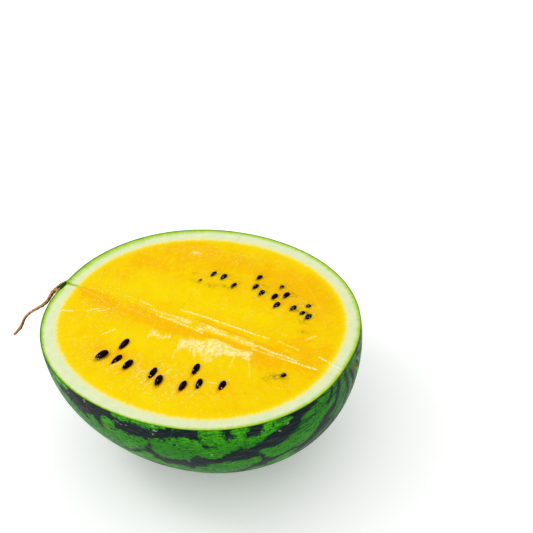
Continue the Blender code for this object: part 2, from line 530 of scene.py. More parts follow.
@dataclass(frozen=True)
class SkinFinish:
    """Waxy green skin: lobed light patches on near-black green bands, freckled and scratched, with painted
    sheen streaks on the dark bands and a painted lit band below the rim.
    """

    kit: EffectKit
    dark: Colour = srgb(17, 23, 29)
    dark_green: Colour = srgb(11, 34, 25)
    # Partly scratches and partly painted sheen: the pale bluish grey streaks along the meridians of the dark
    # bands.
    dark_scratch_sheen: Colour = srgb(48, 61, 64)
    leaf: Colour = srgb(55, 147, 14)
    leaf_deep: Colour = srgb(36, 114, 22)
    # Painted light: the livelier green of the light patches just below the rim, where the top of the skin
    # faces the light.
    leaf_lit_below_rim: Colour = srgb(64, 165, 8)
    leaf_edge: Colour = srgb(22, 84, 16)
    freckle: Colour = srgb(10, 40, 14)
    nub: Colour = srgb(4, 62, 8)
    pale: Colour = srgb(186, 190, 164)
    cork: Colour = srgb(150, 74, 44)
    # How far below the cut the painted lit band reaches, in millimetres.
    lit_band_depth: float = -22.0
    pore_depth: float = 0.00006
    wave_depth: float = 0.0005

    def material(self) -> bpy.types.Material:
        """Build the skin's material.

        Returns:
            The material.
        """
        graph, kit = MaterialGraph("striped_skin"), self.kit
        place = graph.place()
        lengthwise = place.stretch(0.6, 1.0, 1.0)
        coarse_edge = kit.jag(place, size=0.0046, bite=0.6) * 0.45
        middle_edge = kit.jag(place, size=0.0019, bite=0.9) * 1.25
        fine_edge = kit.jag(place, size=0.0008, bite=0.8) * 0.75
        end = graph.trait(Trait.END_NEARNESS)
        rough_edge = (coarse_edge + middle_edge + fine_edge) * end.rise(0.0, 0.4, 1.0, 0.45)
        jagged = graph.trait(Trait.LIGHT_PATCH) + rough_edge
        cracks = kit.veins(lengthwise, size=0.0085, width=0.035, share=0.43) * jagged.rise(5.0, 0.5)
        broad = kit.mottle(place, size=0.022, contrast=2.2, detail=2.0)
        fine = kit.mottle(lengthwise, size=0.0024, contrast=3.0, detail=4.0)
        meridian = graph.trait(Trait.MERIDIAN, "Vector").stretch(1.0, 1.0, 0.22)
        lines = kit.mottle(meridian, size=0.0032, contrast=3.8).rise(0.6, 0.84)
        light = jagged.rise(-0.1, 0.15) * (1.0 - cracks) * (1.0 - lines * end * 0.9)
        meridian_streaks = kit.mottle(meridian, size=0.0015, contrast=3.6, detail=4.0)
        dark = (broad * fine).blend(self.dark, self.dark_green)
        # Pale streaks on the dark bands, partly scratches and partly painted sheen.
        dark = meridian_streaks.rise(0.55, 1.0, 0.0, 0.7).blend(dark, self.dark_scratch_sheen)
        leaf = self._leaf(graph, lengthwise, jagged, broad, fine)
        leaf = meridian_streaks.rise(0.5, 0.1, 0.0, 0.8).blend(leaf, self.leaf_edge)
        flecks = kit.speckles(lengthwise, spacing=0.0046, radius=0.12, share=0.14)
        colour = (flecks * 0.4).blend(light.blend(dark, leaf), self.pale)
        colour = graph.trait(Trait.STEM_GREEN).blend(colour, self.nub)
        wander = kit.jag(place, size=0.0014, bite=0.5) * 0.7
        pale = (graph.trait(Trait.PALE_MARK) + wander).rise(0.05, 0.45)
        cork = (graph.trait(Trait.CORKY_MARK) + wander).rise(0.0, 0.4)
        colour = (pale * 0.4).blend(colour, self.pale)
        pores = kit.mottle(lengthwise, size=0.0011, contrast=1.6, detail=2.0)
        waves = kit.mottle(lengthwise, size=0.009, contrast=1.2, detail=2.0)
        return graph.surface({
            "Base Color": (cork * 0.6).blend(colour, self.cork),
            "Roughness": fine.rise(0.0, 1.0, 0.3, 0.42) + (cork * 0.35 | pale * 0.2),
            "Normal": graph.bump(waves, self.wave_depth, Normal=graph.bump(pores, self.pore_depth)),
            "Specular IOR Level": 0.03,
        })

    def _leaf(
        self, graph: MaterialGraph, lengthwise: Value, jagged: Value, broad: Value, fine: Value
    ) -> Value:
        """Colour the light patches, with freckles, a darker edge and a painted lit band below the rim.

        Args:
            graph: The material's graph.
            lengthwise: The surface's coordinates, drawn out along the fruit.
            jagged: Millimetres inside a light patch.
            broad: A broad mottling.
            fine: A fine mottling.

        Returns:
            Their colour.
        """
        freckles = self.kit.speckles(lengthwise, spacing=0.0014, radius=0.5, share=0.45)
        crumbs = self.kit.speckles(lengthwise, spacing=0.0029, radius=0.34, share=0.62)
        # Painted light: the light patches turn livelier green in a band below the rim, as if lit from above.
        lit_near_rim = graph.trait(Trait.RIM_DEPTH).rise(self.lit_band_depth, -2.0)
        leaf = broad.blend(self.leaf, self.leaf_deep)
        leaf = (lit_near_rim * (1.0 - graph.trait(Trait.END_NEARNESS))).blend(leaf, self.leaf_lit_below_rim)
        leaf = jagged.rise(1.6, 0.1, 0.0, 0.8).blend(leaf, self.leaf_edge)
        leaf = fine.rise(0.35, 0.85, 0.0, 0.75).blend(leaf, self.leaf_deep)
        return (freckles * 0.5 | crumbs * 0.95).blend(leaf, self.freckle)


@dataclass(frozen=True)
class FaceFinish:
    """Moist cut flesh in yellow to orange inside a pale rind with a lime and a dark green edge, with painted
    shadows by the seeds and painted wet highlights.
    """

    kit: EffectKit
    skin_line: Colour = srgb(50, 108, 6)
    lime: Colour = srgb(168, 204, 36)
    lime_deep: Colour = srgb(110, 170, 10)
    rind: Colour = srgb(224, 228, 180)
    rind_cool: Colour = srgb(206, 221, 180)
    cream: Colour = srgb(232, 224, 138)
    margin: Colour = srgb(238, 210, 0)
    yellow: Colour = srgb(237, 200, 0)
    bright: Colour = srgb(239, 208, 0)
    orange: Colour = srgb(237, 181, 0)
    # Pale cream grains of the flesh, partly juicy cells and partly painted wet glints.
    granule_glint: Colour = srgb(244, 230, 124)
    torn: Colour = srgb(241, 222, 118)
    white: Colour = srgb(246, 237, 178)
    # Pale fibre lines on the raised ridges; their whitish colour is partly a painted highlight of the wet
    # ridges.
    strand: Colour = srgb(255, 251, 214)
    # Dull olive by the seeds: partly the seed showing through the flesh, partly painted shadow in its pocket.
    smudge_and_shade: Colour = srgb(120, 104, 6)
    vein: Colour = srgb(158, 184, 10)
    vein_dark: Colour = srgb(72, 130, 6)
    nub: Colour = srgb(6, 70, 4)
    # Painted shadow: the darker orange rim around the near seeds, strongest on the side away from the light.
    seed_shade_and_floor_glow: Colour = srgb(226, 150, 0)
    buried: Colour = srgb(58, 46, 8)
    grain_depth: float = 0.0003

    def material(self) -> bpy.types.Material:
        """Build the cut face's material.

        Returns:
            The material.
        """
        graph, kit = MaterialGraph("cut_face"), self.kit
        place = graph.place()
        inward = graph.trait(Trait.GRAIN, "Vector").stretch(1.0, 1.0, 0.2)
        outward = graph.trait(Trait.FAN, "Vector").stretch(1.0, 0.17, 1.0)
        streaks = kit.mottle(outward, size=0.0021, contrast=2.2, detail=4.0)
        flesh, granule_glints = self._flesh(graph, place, streaks)
        flesh, torn = self._tears(graph, place, streaks, flesh)
        colour = self._shadows(graph, place, self._rind(graph, place, inward, flesh))
        dashes = kit.mottle(place, size=0.0013, contrast=4.2, detail=2.0).rise(0.42, 0.66)
        # The strands: pale fibres whose whitish lines are partly painted highlights of the wet ridges, with a
        # brighter painted halo beside them.
        strand = graph.trait(Trait.STRAND)
        highlight_halo = strand.rise(0.0, 0.4, 0.0, 0.75) * graph.trait(Trait.FLESH_DEPTH).rise(0.0, 3.0)
        strand = strand * dashes
        colour = strand.blend(highlight_halo.blend(colour, self.bright), self.strand)
        chalky = torn | strand
        cells = kit.mottle(place, size=0.0015, contrast=2.0)
        wet = kit.mottle(place, size=0.0022, contrast=2.6).rise(0.72, 0.95)
        return graph.surface({
            "Base Color": colour,
            "Roughness": chalky * 0.25 + 0.42,
            "Normal": graph.bump(cells * 0.6 + streaks * 0.35 + granule_glints * 0.7, self.grain_depth),
            "Specular IOR Level": 0.012,
            "Coat Weight": wet * (1.0 - chalky) * 0.22,
            "Coat Roughness": 0.14,
        })

    def _flesh(self, graph: MaterialGraph, place: Value, streaks: Value) -> tuple[Value, Value]:
        """Yellow flesh with warmer and brighter zones, and its pale grains and threads, partly juicy cells
        and partly painted wet glints.

        Args:
            graph: The material's graph.
            place: The surface's coordinates.
            streaks: The streaky mottling.

        Returns:
            Its colour, and where its pale grains and painted glints are.
        """
        kit = self.kit
        drift = kit.mottle(place, size=0.0125, contrast=2.4, detail=4.0)
        fine = kit.mottle(place, size=0.0032, contrast=2.6)
        uneven = (drift - 0.5) * 0.7 + (fine - 0.5) * 0.55 - (streaks - 0.5) * 0.5
        warmth = graph.trait(Trait.WARMTH) + uneven
        colour = warmth.rise(0.0, -0.8).blend(self.yellow, self.bright)
        colour = warmth.rise(-0.1, 1.0).blend(colour, self.orange)
        drops = kit.speckles(place, spacing=0.0026, radius=0.26, share=0.3)
        crumbs = kit.speckles(place, spacing=0.0014, radius=0.34, share=0.4)
        clusters = kit.mottle(place, size=0.014, contrast=3.0)
        crowd = (graph.trait(Trait.GLINTS) + clusters).rise(0.38, 1.15)
        threads = kit.veins(place, size=0.0042, width=0.075, share=0.46)
        # Pale grains and threads, partly juicy cells and juice and partly painted wet glints.
        pale = (drops * 0.95 | crumbs * 0.7) * crowd | threads * graph.trait(Trait.THREADS) * 0.85
        return pale.blend(colour, self.granule_glint), pale

    def _tears(self, graph: MaterialGraph, place: Value, streaks: Value, flesh: Value) -> tuple[Value, Value]:
        """Add the torn, whitish places, which fray out along the fibres and, near the core, along streaks
        that are partly painted wet sheen.

        Args:
            graph: The material's graph.
            place: The surface's coordinates.
            streaks: The streaky mottling.
            flesh: The flesh's colour.

        Returns:
            The colour, and how torn the surface is.
        """
        ragged = self.kit.jag(place, size=0.0026, bite=0.4) * 0.6
        # Near the core the streaks run along it: partly torn fibre, partly painted wet sheen.
        along = self.kit.mottle(place.stretch(0.13, 1.0, 1.0), size=0.0015, contrast=3.2, detail=3.0)
        core, depth = graph.trait(Trait.CORE), graph.trait(Trait.TORN)
        streaks = streaks * (1.0 - core) + along * core
        crust = self.kit.mottle(place, size=0.0026, contrast=2.4, detail=4.0)
        torn = (depth + ragged + (streaks - 0.5) * 3.4).rise(-1.1, 1.6)
        torn = torn * crust.rise(0.05, 0.6, 0.4, 1.0) * streaks.rise(0.05, 0.6, 0.5, 1.0)
        white = torn * crust.rise(0.25, 0.85) * depth.rise(0.0, 1.5, 0.3, 1.0) * 0.8
        return white.blend((torn * 0.85).blend(flesh, self.torn), self.white), torn

    def _rind(self, graph: MaterialGraph, place: Value, inward: Value, flesh: Value) -> Value:
        """Lay the rind's bands around the flesh.

        Args:
            graph: The material's graph.
            place: The surface's coordinates.
            inward: Coordinates that run round the rim and, drawn out, inwards.
            flesh: The flesh's colour.

        Returns:
            The colour of the whole face.
        """
        kit = self.kit
        fibres = kit.mottle(inward, size=0.0012, contrast=2.6)
        feather = kit.jag(inward, size=0.0034, bite=0.15) * 0.95
        depth = graph.trait(Trait.FLESH_DEPTH) + feather + (fibres - 0.5) * 1.7
        cloud = kit.mottle(place, size=0.0062, contrast=2.0)
        rind = depth.rise(-3.6, -0.4).blend(cloud.blend(self.rind, self.rind_cool), self.cream)
        colour = depth.rise(-1.4, 1.4).blend(rind, self.margin)
        colour = depth.rise(0.4, 5.5).blend(colour, flesh)
        blots = kit.jag(inward, size=0.0036, bite=0.4)
        colour = (graph.trait(Trait.LIME_DEPTH) + blots).rise(4.6, 1.0).blend(colour, self.lime)
        line_depth = graph.trait(Trait.LINE_DEPTH)
        colour = (line_depth + blots * 0.6).rise(1.7, 0.4, 0.0, 0.65).blend(colour, self.lime_deep)
        colour = line_depth.rise(0.7, 0.25).blend(colour, self.skin_line)
        vein = graph.trait(Trait.VEIN)
        colour = vein.rise(0.0, 0.6, 0.0, 0.85).blend(colour, self.vein)
        colour = vein.rise(0.55, 1.0, 0.0, 0.6).blend(colour, self.vein_dark)
        foot = graph.trait(Trait.STEM_GREEN) + blots * 0.15
        return foot.rise(0.25, 0.6).blend(colour, self.nub)

    def _shadows(self, graph: MaterialGraph, place: Value, colour: Value) -> Value:
        """Paint shadow into the flesh around seeds, tint it over buried ones, and add its few dull spots,
        which are partly painted shade.

        Args:
            graph: The material's graph.
            place: The surface's coordinates.
            colour: The colour so far.

        Returns:
            The tinted colour.
        """
        blots = self.kit.mottle(place, size=0.0022, contrast=3.0)
        # Dull olive spots, partly seed showing through the flesh and partly painted shadow.
        smudge_and_shade = graph.trait(Trait.SMUDGE) * blots.rise(0.1, 0.8) * 0.8
        colour = smudge_and_shade.blend(colour, self.smudge_and_shade)
        # Painted shadow around the near seeds.
        colour = (graph.trait(Trait.SEED_GLOW) * 0.75).blend(colour, self.seed_shade_and_floor_glow)
        return (graph.trait(Trait.BURIED) * 0.95).blend(colour, self.buried)


@dataclass(frozen=True)
class SeedCoatFinish:
    """Wet seed coat: near black with a brown heart, finely crazed, with painted glints."""

    kit: EffectKit
    black: Colour = srgb(6, 2, 3)
    brown: Colour = srgb(36, 6, 6)
    glint: Colour = srgb(204, 208, 222)
    crazing_depth: float = 0.00005

    def material(self) -> bpy.types.Material:
        """Build the seed coat's material.

        Returns:
            The material.
        """
        graph, kit = MaterialGraph("seed_coat"), self.kit
        place = graph.place()
        cloud = kit.mottle(place, size=0.0022, contrast=2.4)
        crazing = kit.veins(place, size=0.0009, width=0.09, share=0.55)
        pits = kit.speckles(place, spacing=0.0006, radius=0.4, share=0.4)
        # Painted glints: small whitish spots on the seeds, mostly towards the pointed end.
        sparks = kit.speckles(place, spacing=0.0013, radius=0.42, share=0.36)
        sparks = sparks * graph.trait(Trait.SEED_TIP).rise(0.3, 1.0) * 0.78
        wet = kit.mottle(place, size=0.0012, contrast=3.0)
        return graph.surface({
            "Base Color": sparks.blend(cloud.rise(0.45, 0.9).blend(self.black, self.brown), self.glint),
            "Roughness": cloud.rise(0.0, 1.0, 0.2, 0.34),
            "Normal": graph.bump(1.0 - (crazing | pits * 0.6), self.crazing_depth),
            "Specular IOR Level": 0.01,
            "Coat Weight": wet.rise(0.84, 0.96, 0.0, 0.25),
            "Coat Roughness": 0.1,
        })


@dataclass(frozen=True)
class BarkFinish:
    """Dry stem: tan ridges, red-brown grooves and small dark cracks, with painted shade on its side turned
    from the light and at its knot's hole.
    """

    kit: EffectKit
    tan: Colour = srgb(244, 190, 124)
    brown: Colour = srgb(184, 106, 42)
    # Painted shade on the side of the stem turned away from the light.
    shade: Colour = srgb(84, 38, 12)
    groove: Colour = srgb(78, 20, 8)
    crack_depth: float = 0.00012

    def material(self) -> bpy.types.Material:
        """Build the stem's material.

        Returns:
            The material.
        """
        graph, kit = MaterialGraph("dry_bark"), self.kit
        place = graph.place()
        cloud = kit.mottle(place, size=0.0035, contrast=2.2)
        fine = kit.mottle(place, size=0.0007, contrast=2.2, detail=4.0)
        cracks = kit.veins(place, size=0.0014, width=0.09, share=0.5)
        colour = (cloud * 0.7 + fine * 0.25).blend(self.tan, self.brown)
        # Painted shade on the side of the stem turned away from the light.
        colour = (graph.trait(Trait.BARK_SHADE) * 0.85).blend(colour, self.shade)
        # Dark grooves and cracks, and the painted shade of the knot's hole.
        dark = graph.trait(Trait.BARK_GROOVE) | cracks * 0.7
        return graph.surface({
            "Base Color": (dark * 0.9).blend(colour, self.groove),
            "Roughness": fine.rise(0.0, 1.0, 0.62, 0.85),
            "Normal": graph.bump(fine - cracks * 0.6, self.crack_depth),
            "Specular IOR Level": 0.04,
        })


@dataclass(frozen=True)
class FloorFinish:
    """Plain pale floor, a matte and barely uneven sheet that is lit a little from below."""

    kit: EffectKit
    paper: Colour = (0.96, 0.96, 0.96)
    seed_shade_and_floor_glow: float = 0.15

    def material(self) -> bpy.types.Material:
        """Build the floor's material.

        Returns:
            The material.
        """
        graph = MaterialGraph("pale_floor")
        haze = self.kit.mottle(graph.place(), size=0.4, contrast=1.0, detail=1.0)
        return graph.surface({
            "Base Color": self.paper,
            "Roughness": haze.rise(0.0, 1.0, 0.7, 0.8),
            "Specular IOR Level": 0.0,
            "Emission Color": self.paper,
            "Emission Strength": self.seed_shade_and_floor_glow,
        })


@dataclass(frozen=True)
class FruitForm:
    """The grown outer shape, the same as the solid's: a full-shouldered, slightly leaning oval."""

    half_length: float = 125.0
    half_width: float = 105.5
    half_depth: float = 104.5
    shoulder_fullness: float = 0.0088
    side_fullness: float = 0.005
    end_flattening: float = 1.2
    end_spread: float = 16.0
    nub_rise: float = 2.4
    nub_spread: float = 2.6
    nub_y: float = -4.6
    nub_z: float = 4.6
    cut_above_axis: float = 7.2
    axis_height: float = 103.2
    halvings: int = 40

    @classmethod
    def from_frame(cls) -> "FruitForm":
        """Take the height of the fruit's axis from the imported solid."""
        cut_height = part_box("melon_half")[1].z / MM
        return cls(axis_height=cut_height - cls.cut_above_axis)

    def skin_points(self, directions: Array) -> Array:
        """Points of the skin in unit directions from the fruit's middle.

        Args:
            directions: Unit vectors, one row each.

        Returns:
            Points in millimetres, one row each.
        """
        x, y, z = directions.T
        shoulder = (8 * x**4 - 8 * x**2 + 1) * (1 - z**2)
        lean = 3 * y - 4 * y**3
        swell = 1 - self.shoulder_fullness * shoulder - self.side_fullness * lean
        half_axes = np.array((self.half_length, self.half_width, self.half_depth))
        points = directions * half_axes * swell[:, None]
        around_axis = np.hypot(points[:, 1], points[:, 2])
        around_nub = np.hypot(points[:, 1] - self.nub_y, points[:, 2] - self.nub_z)
        points[:, 0] -= np.copysign(self.end_flattening * bell(around_axis, self.end_spread), x)
        points[:, 0] -= np.where(x < 0, self.nub_rise * bell(around_nub, self.nub_spread), 0.0)
        return points

    def elevations_at(self, height: float, azimuths: Array, low: float, high: float) -> Array:
        """Find by halving the elevations at which the skin passes a height.

        Args:
            height: Height above the fruit's middle.
            azimuths: Directions around the vertical, in radians.
            low: An elevation below the answer, in radians.
            high: An elevation above it.

        Returns:
            An elevation for each azimuth.
        """
        lows = np.full(len(azimuths), low)
        highs = np.full(len(azimuths), high)
        for _ in range(self.halvings):
            middles = (lows + highs) / 2
            above = self.skin_points(directions_from(azimuths, middles))[:, 2] > height
            highs = np.where(above, middles, highs)
            lows = np.where(above, lows, middles)
        return (lows + highs) / 2


def directions_from(azimuths: Array, elevations: Array) -> Array:
    """Unit vectors from azimuths and elevations in radians."""
    flat = np.cos(elevations)
    return np.stack([np.cos(azimuths) * flat, np.sin(azimuths) * flat, np.sin(elevations)], axis=-1)


class Lobe(NamedTuple):
    """A round light patch: its place along and around the fruit, and its radius."""

    along: float
    around: float
    radius: float


class Stroke(NamedTuple):
    """A line on the skin: its path along and around the fruit, and half its width.

    On the blossom end the path runs across and up the end instead, in millimetres.
    """

    path: tuple[Point, ...]
    half_width: float


class Blemish(NamedTuple):
    """A short mark on the skin: its place, its length, its heading in degrees, half its width."""

    along: float
    around: float
    length: float
    heading: float
    half_width: float


class BandPlan(NamedTuple):
    """A light band grown by rule: its angle around the fruit and the stretch that it fills."""

    around: float
    start: float
    end: float


@dataclass(frozen=True)
class StripePattern:
    """Where the skin is light or dark.

    A place on the skin is given along the fruit's own axis in millimetres and around it in
    degrees, from the near side downwards. One degree is mm_per_degree at the girth.
    """

    stem_pole: Point3 = (-124.5, -3.0, 4.0)
    blossom_pole: Point3 = (124.5, 8.0, -1.0)
    mm_per_degree: float = 1.84
    seed: int = 417
    pole_cap_start: float = 117.5
    blossom_end_start: float = 95.0
    lobe_step: float = 8.5
    lobe_radii: Point = (5.0, 8.8)
    lobe_gap_chance: float = 0.2
    row_gap: float = 3.7
    wander: float = 1.6
    wander_length: float = 26.0
    crack_step: float = 47.0
    crack_reach: float = 9.5
    crack_widths: Point = (0.7, 1.5)

    near_patches: tuple[Lobe, ...] = table(
        Lobe, (-20.5, 4.6, 6.2), (-24, 8.5, 4), (-9, 8.6, 5.4), (-14.5, 11.5, 6.5), (1.5, 9.3, 5.6),
        (7, 8.4, 4.6), (-21, 13, 7.5), (-10, 14, 9), (0, 12, 7.5), (-20, 18, 7), (-9, 17, 6.5),
        (-31, 14.5, 7.5), (-37, 8, 4.8), (-35.5, 11.5, 6.5), (-43, 14, 6.5), (-38, 17, 8), (-57, 9.3, 6),
        (-50, 11.5, 6), (-64, 8, 6.5), (-55, 14, 8),
    )
    rim_slivers: tuple[Lobe, ...] = table(
        Lobe, (-12, -2.4, 2.8), (-7, -2.2, 3.5), (-3, -2.4, 3), (3, -2.6, 2.6), (7.5, -2.5, 2.6),
        (13.5, -2.4, 4), (19.5, -2.6, 4), (26, -3.3, 2.2), (33, -3.5, 1.4), (-62, -2, 4), (-70, -1.5, 4.5),
        (-78, -1, 4),
    )
    middle_patches: tuple[Lobe, ...] = table(
        Lobe, (20, 6.6, 5.6), (17, 9.5, 5.5), (31.5, 5, 6), (26.5, 8.5, 6), (41, 3.8, 5.6), (47, 4.2, 5),
        (36, 6.5, 6.5), (45, 8, 7.5), (20, 12.5, 7.5), (16.5, 13.5, 4.8), (28, 12, 8.5), (37, 11, 8),
        (24, 15.3, 4.8), (31.5, 15, 4.8), (19.5, 16, 3.6), (37, 14.8, 3.6), (52, 10.5, 6.5),
        (58, 11.5, 6.5), (55, 12.8, 4.4), (64, 9, 6), (59.5, 8.5, 5),
    )
    upper_patches: tuple[Lobe, ...] = table(
        Lobe, (57.5, 1.8, 6.8), (56, -2.5, 5.4), (62, -3, 5), (65, 2, 7), (62, 5.5, 6), (72, 4.5, 6.5),
        (78, 5, 6), (80, 7.2, 4.4), (84.5, 4.5, 5.4), (75, 1.5, 5), (76, -2.5, 5), (80, -3.2, 3),
        (92, 0, 6), (97.5, -1.5, 5), (101, -3.6, 4.2), (95, -4, 5), (88.5, 2.5, 4.5), (71, 7.5, 4.5),
    )
    lower_patches: tuple[Lobe, ...] = table(
        Lobe, (5, 19.5, 5.5), (0, 24, 7.5), (10, 25, 7), (-9, 26, 7.5), (-19, 27, 7), (-30, 26, 6.5),
        (18, 29, 7), (26.5, 27.8, 7.2), (23, 25.8, 3.8), (30, 26, 4.2), (34, 31, 7), (45, 27.2, 7.2),
        (52, 27, 7), (56, 24.5, 8), (64, 24, 9.2), (71.5, 24.2, 8.6), (79.8, 22.6, 5.6), (79, 25.5, 4.2),
        (60, 30, 8), (50, 32, 8), (40, 33, 7), (70, 28.5, 6),
    )
    blossom_patches: tuple[Lobe, ...] = table(
        Lobe, (89.5, 18.5, 4.6), (88.5, 16, 3.6), (93, 23, 6.2), (90, 22, 4.8), (95, 18.5, 5.5),
        (96, 26, 4.2), (99.5, 21, 7), (101, 16.5, 5), (105.5, 14, 5.5), (103, 26, 7), (107, 20, 8),
        (107, 29, 5.5), (110.5, 9, 3.6), (112.5, 3, 3.1), (114.8, -2.5, 2.8), (117, -8, 2.6), (117, 5, 5),
        (115, 14, 7), (113, 23, 6), (87.5, 35, 4.8), (94, 34.5, 7.2), (99, 35.5, 5.5), (92, 41, 8),
        (100, 42, 7), (108, 41, 6), (113, 44, 5), (75.5, 37, 5.5), (72, 41, 7), (84, 42, 7),
    )
    blossom_outline: tuple[Point, ...] = (
        (87.4, 16), (88.5, 14.2), (92, 15), (95, 15.6), (97.5, 15), (99, 14), (101, 13), (103, 12),
        (104.5, 10.6), (106, 9), (107.2, 7), (108, 5), (108.4, 2.5), (109, 0), (110.4, -1.4), (112, -3),
        (113.4, -4.2), (114.8, -5.4), (118, -9), (126, -14), (126, 34), (104, 30.5), (102.4, 27.4),
        (99, 28.6), (95, 28.4), (91, 27.4), (88, 26), (86.8, 20),
    )
    dark_strokes: tuple[Stroke, ...] = table(
        Stroke, (((50.6, -1), (51.2, 3), (53.5, 5.2), (56.5, 6.2), (60.5, 6.4)), 0.9),
        (((67.2, -3.6), (69.2, -1.5), (72.8, 0.4)), 1.7), (((69, -1), (69, 1.4)), 1.3),
        (((85.7, -6), (85.8, -2)), 3.6), (((85.8, -2), (86, 1.2)), 2.1),
        (((13, 4), (12, 9), (11.4, 12), (12.4, 15), (15.5, 18.5)), 1.3),
        (((11, 11), (8, 13.4), (3.5, 15.6), (-3, 19), (-12, 22.4)), 1.5),
        (((84.9, 18), (85.6, 24), (86.5, 29)), 1.5), (((86, 30), (93, 29.6), (100, 29.4)), 1.6),
        (((102.9, 32), (103, 38)), 1.2), (((31.5, 6.3), (32, 6.4)), 1.1), (((-28.6, 2), (-28.6, 9.5)), 1.5),
        (((-44, 4), (-43.5, 10.5)), 1.6),
    )
    blossom_strokes: tuple[Stroke, ...] = table(
        Stroke, (((-13.6, 5), (-15.6, -2.7), (-17.6, -10), (-21.7, -14.1)), 2.3),
        (((-21.7, -14.1), (-28.6, -18), (-33, -24.4), (-39.2, -34.6), (-45.1, -42)), 3.6),
        (((-4.8, 3), (-3.4, -2.3), (-1.8, -9.8), (-2, -15.8)), 2.1),
        (((-2, -15.8), (-4.2, -23.6), (-8.9, -31.6), (-14, -44), (-20, -56)), 3),
        (((-22.2, 4.8), (-24.1, 0.4), (-27.6, -5)), 1.5),
        (((2.7, -0.5), (7.3, -9.9), (8.8, -17), (10.5, -34), (9, -52)), 1.9),
        (((15, -3), (24, -16), (32, -30), (40, -48)), 1.7),
        (((17, 2), (30, -5), (45, -15), (60, -27)), 1.6), (((14, 6), (24, 6), (38, 3)), 1.3),
    )
    pale_blemishes: tuple[Blemish, ...] = table(
        Blemish, (-11.5, 1, 3, 15, 0.85), (-7.5, 1.9, 3, 25, 0.6), (-3, 1.1, 1.2, 0, 0.8),
        (13.2, 5, 1.2, 70, 0.9), (17.8, 1.9, 1.2, 20, 0.9), (20, -0.3, 1.8, 10, 0.9),
        (18.8, -3, 2.2, 95, 0.9), (38.2, 17.8, 2.6, 60, 0.8), (56.5, 11.6, 2, 120, 0.8),
        (98.2, 3.4, 1.8, 60, 0.8), (102.4, -0.5, 2.6, 110, 0.8), (-40.2, -1.6, 3, 95, 0.85),
        (-36, 5.6, 2.2, 70, 0.6), (-44.5, 4, 3.4, 80, 0.55), (-49, 1.4, 3.2, 100, 0.55),
        (-16.5, 1.6, 4.6, 24, 0.55), (-1, 14.8, 4.6, 22, 0.5), (-6.5, 13.2, 2.2, 150, 0.55),
        (7, 19.5, 3, 30, 0.55), (-4, 6, 2.2, 40, 0.55), (-58, 1, 5, 110, 0.55),
    )
    corky_blemishes: tuple[Blemish, ...] = table(
        Blemish, (-39.2, 1.2, 6, 88, 0.75), (-37.5, 3.7, 4.4, 44, 0.75), (-23, 8, 2.8, 25, 1.35),
        (80, 9.8, 1, 90, 0.7), (27, 20, 4, 110, 0.5),
    )
    pale_end_strokes: tuple[Stroke, ...] = table(
        Stroke, (((20.5, -8), (19.2, -4.6), (17, -2)), 0.9), (((-20, 6), (-20.6, 4.6)), 0.6),
    )
    corky_end_strokes: tuple[Stroke, ...] = table(
        Stroke, (((17.2, -10.4), (12, -5.4), (8.6, -3.2)), 1.1), (((7, -2.6), (2.3, 1.8)), 0.7),
        (((-13.8, 6.1), (-13.2, 5.4)), 0.8),
    )
    hidden_bands: tuple[BandPlan, ...] = table(
        BandPlan,
        (8, -117, -70), (27, -117, -36), (46, -117, 64),
        *((around, -117, 117) for around in (66, 87, 107, 128, 148, 168, 188)),
    )

    def chart(self, points: Array) -> Array:
        """Lay points of the skin out on a flat chart.

        Args:
            points: Points in millimetres from the fruit's middle.

        Returns:
            Rows of distance along the fruit and of degrees around it times mm_per_degree.
        """
        stem, blossom = np.array(self.stem_pole), np.array(self.blossom_pole)
        axis = (blossom - stem) / np.linalg.norm(blossom - stem)
        near = np.cross(axis, (0.0, 0.0, 1.0))
        near /= np.linalg.norm(near)
        down = np.cross(axis, near)
        down *= -np.sign(down[2])
        offset = points - (stem + blossom) / 2
        around = np.degrees(np.arctan2(offset @ down, offset @ near))
        return np.stack([offset @ axis, around * self.mm_per_degree], axis=-1)

    def meridians(self, points: Array) -> Array:
        """Coordinates in which noise runs along the fruit's meridians.

        Args:
            points: Points in millimetres from the fruit's middle.

        Returns:
            Rows of two coordinates around the fruit and one along it, in metres.
        """
        along, around = self.chart(points).T
        turn = np.radians(around / self.mm_per_degree)
        girth = self.mm_per_degree * 180.0 / math.pi
        return np.column_stack([girth * np.cos(turn), girth * np.sin(turn), along]) * MM

    def _grown_lobes(self) -> tuple[list[Lobe], list[Stroke]]:
        """Grow the bands that no measured patch covers.

        Returns:
            Their lobes, three abreast with uneven edges, and the cracks across them.
        """
        rng = np.random.default_rng(self.seed)
        grown, cracks = [], []
        for band in self.hidden_bands:
            phase = rng.uniform(0, math.tau)
            for along in np.arange(band.start, band.end, self.lobe_step):
                wander = self.wander * math.sin(along / self.wander_length + phase)
                for row in (-1, 0, 1):
                    if row and rng.uniform() < self.lobe_gap_chance:
                        continue
                    around = band.around + wander + row * self.row_gap + rng.normal(0.0, 0.5)
                    place = along + rng.normal(0.0, 2.0)
                    grown.append(Lobe(place, around, rng.uniform(*self.lobe_radii)))
            for along in np.arange(band.start + 25, band.end - 10, self.crack_step):
                place = along + rng.uniform(-16, 16)
                steps = np.linspace(-self.crack_reach, self.crack_reach, 7)
                bends = place + np.cumsum(rng.normal(0.0, 1.7, len(steps)))
                path = tuple((float(x), band.around + float(step)) for x, step in zip(bends, steps))
                cracks.append(Stroke(path, rng.uniform(*self.crack_widths)))
        return grown, cracks

    def _scaled(self, path: Iterable[Point]) -> list[Point]:
        """A path of (along, degrees around) turned into the chart's millimetres."""
        return [(along, around * self.mm_per_degree) for along, around in path]

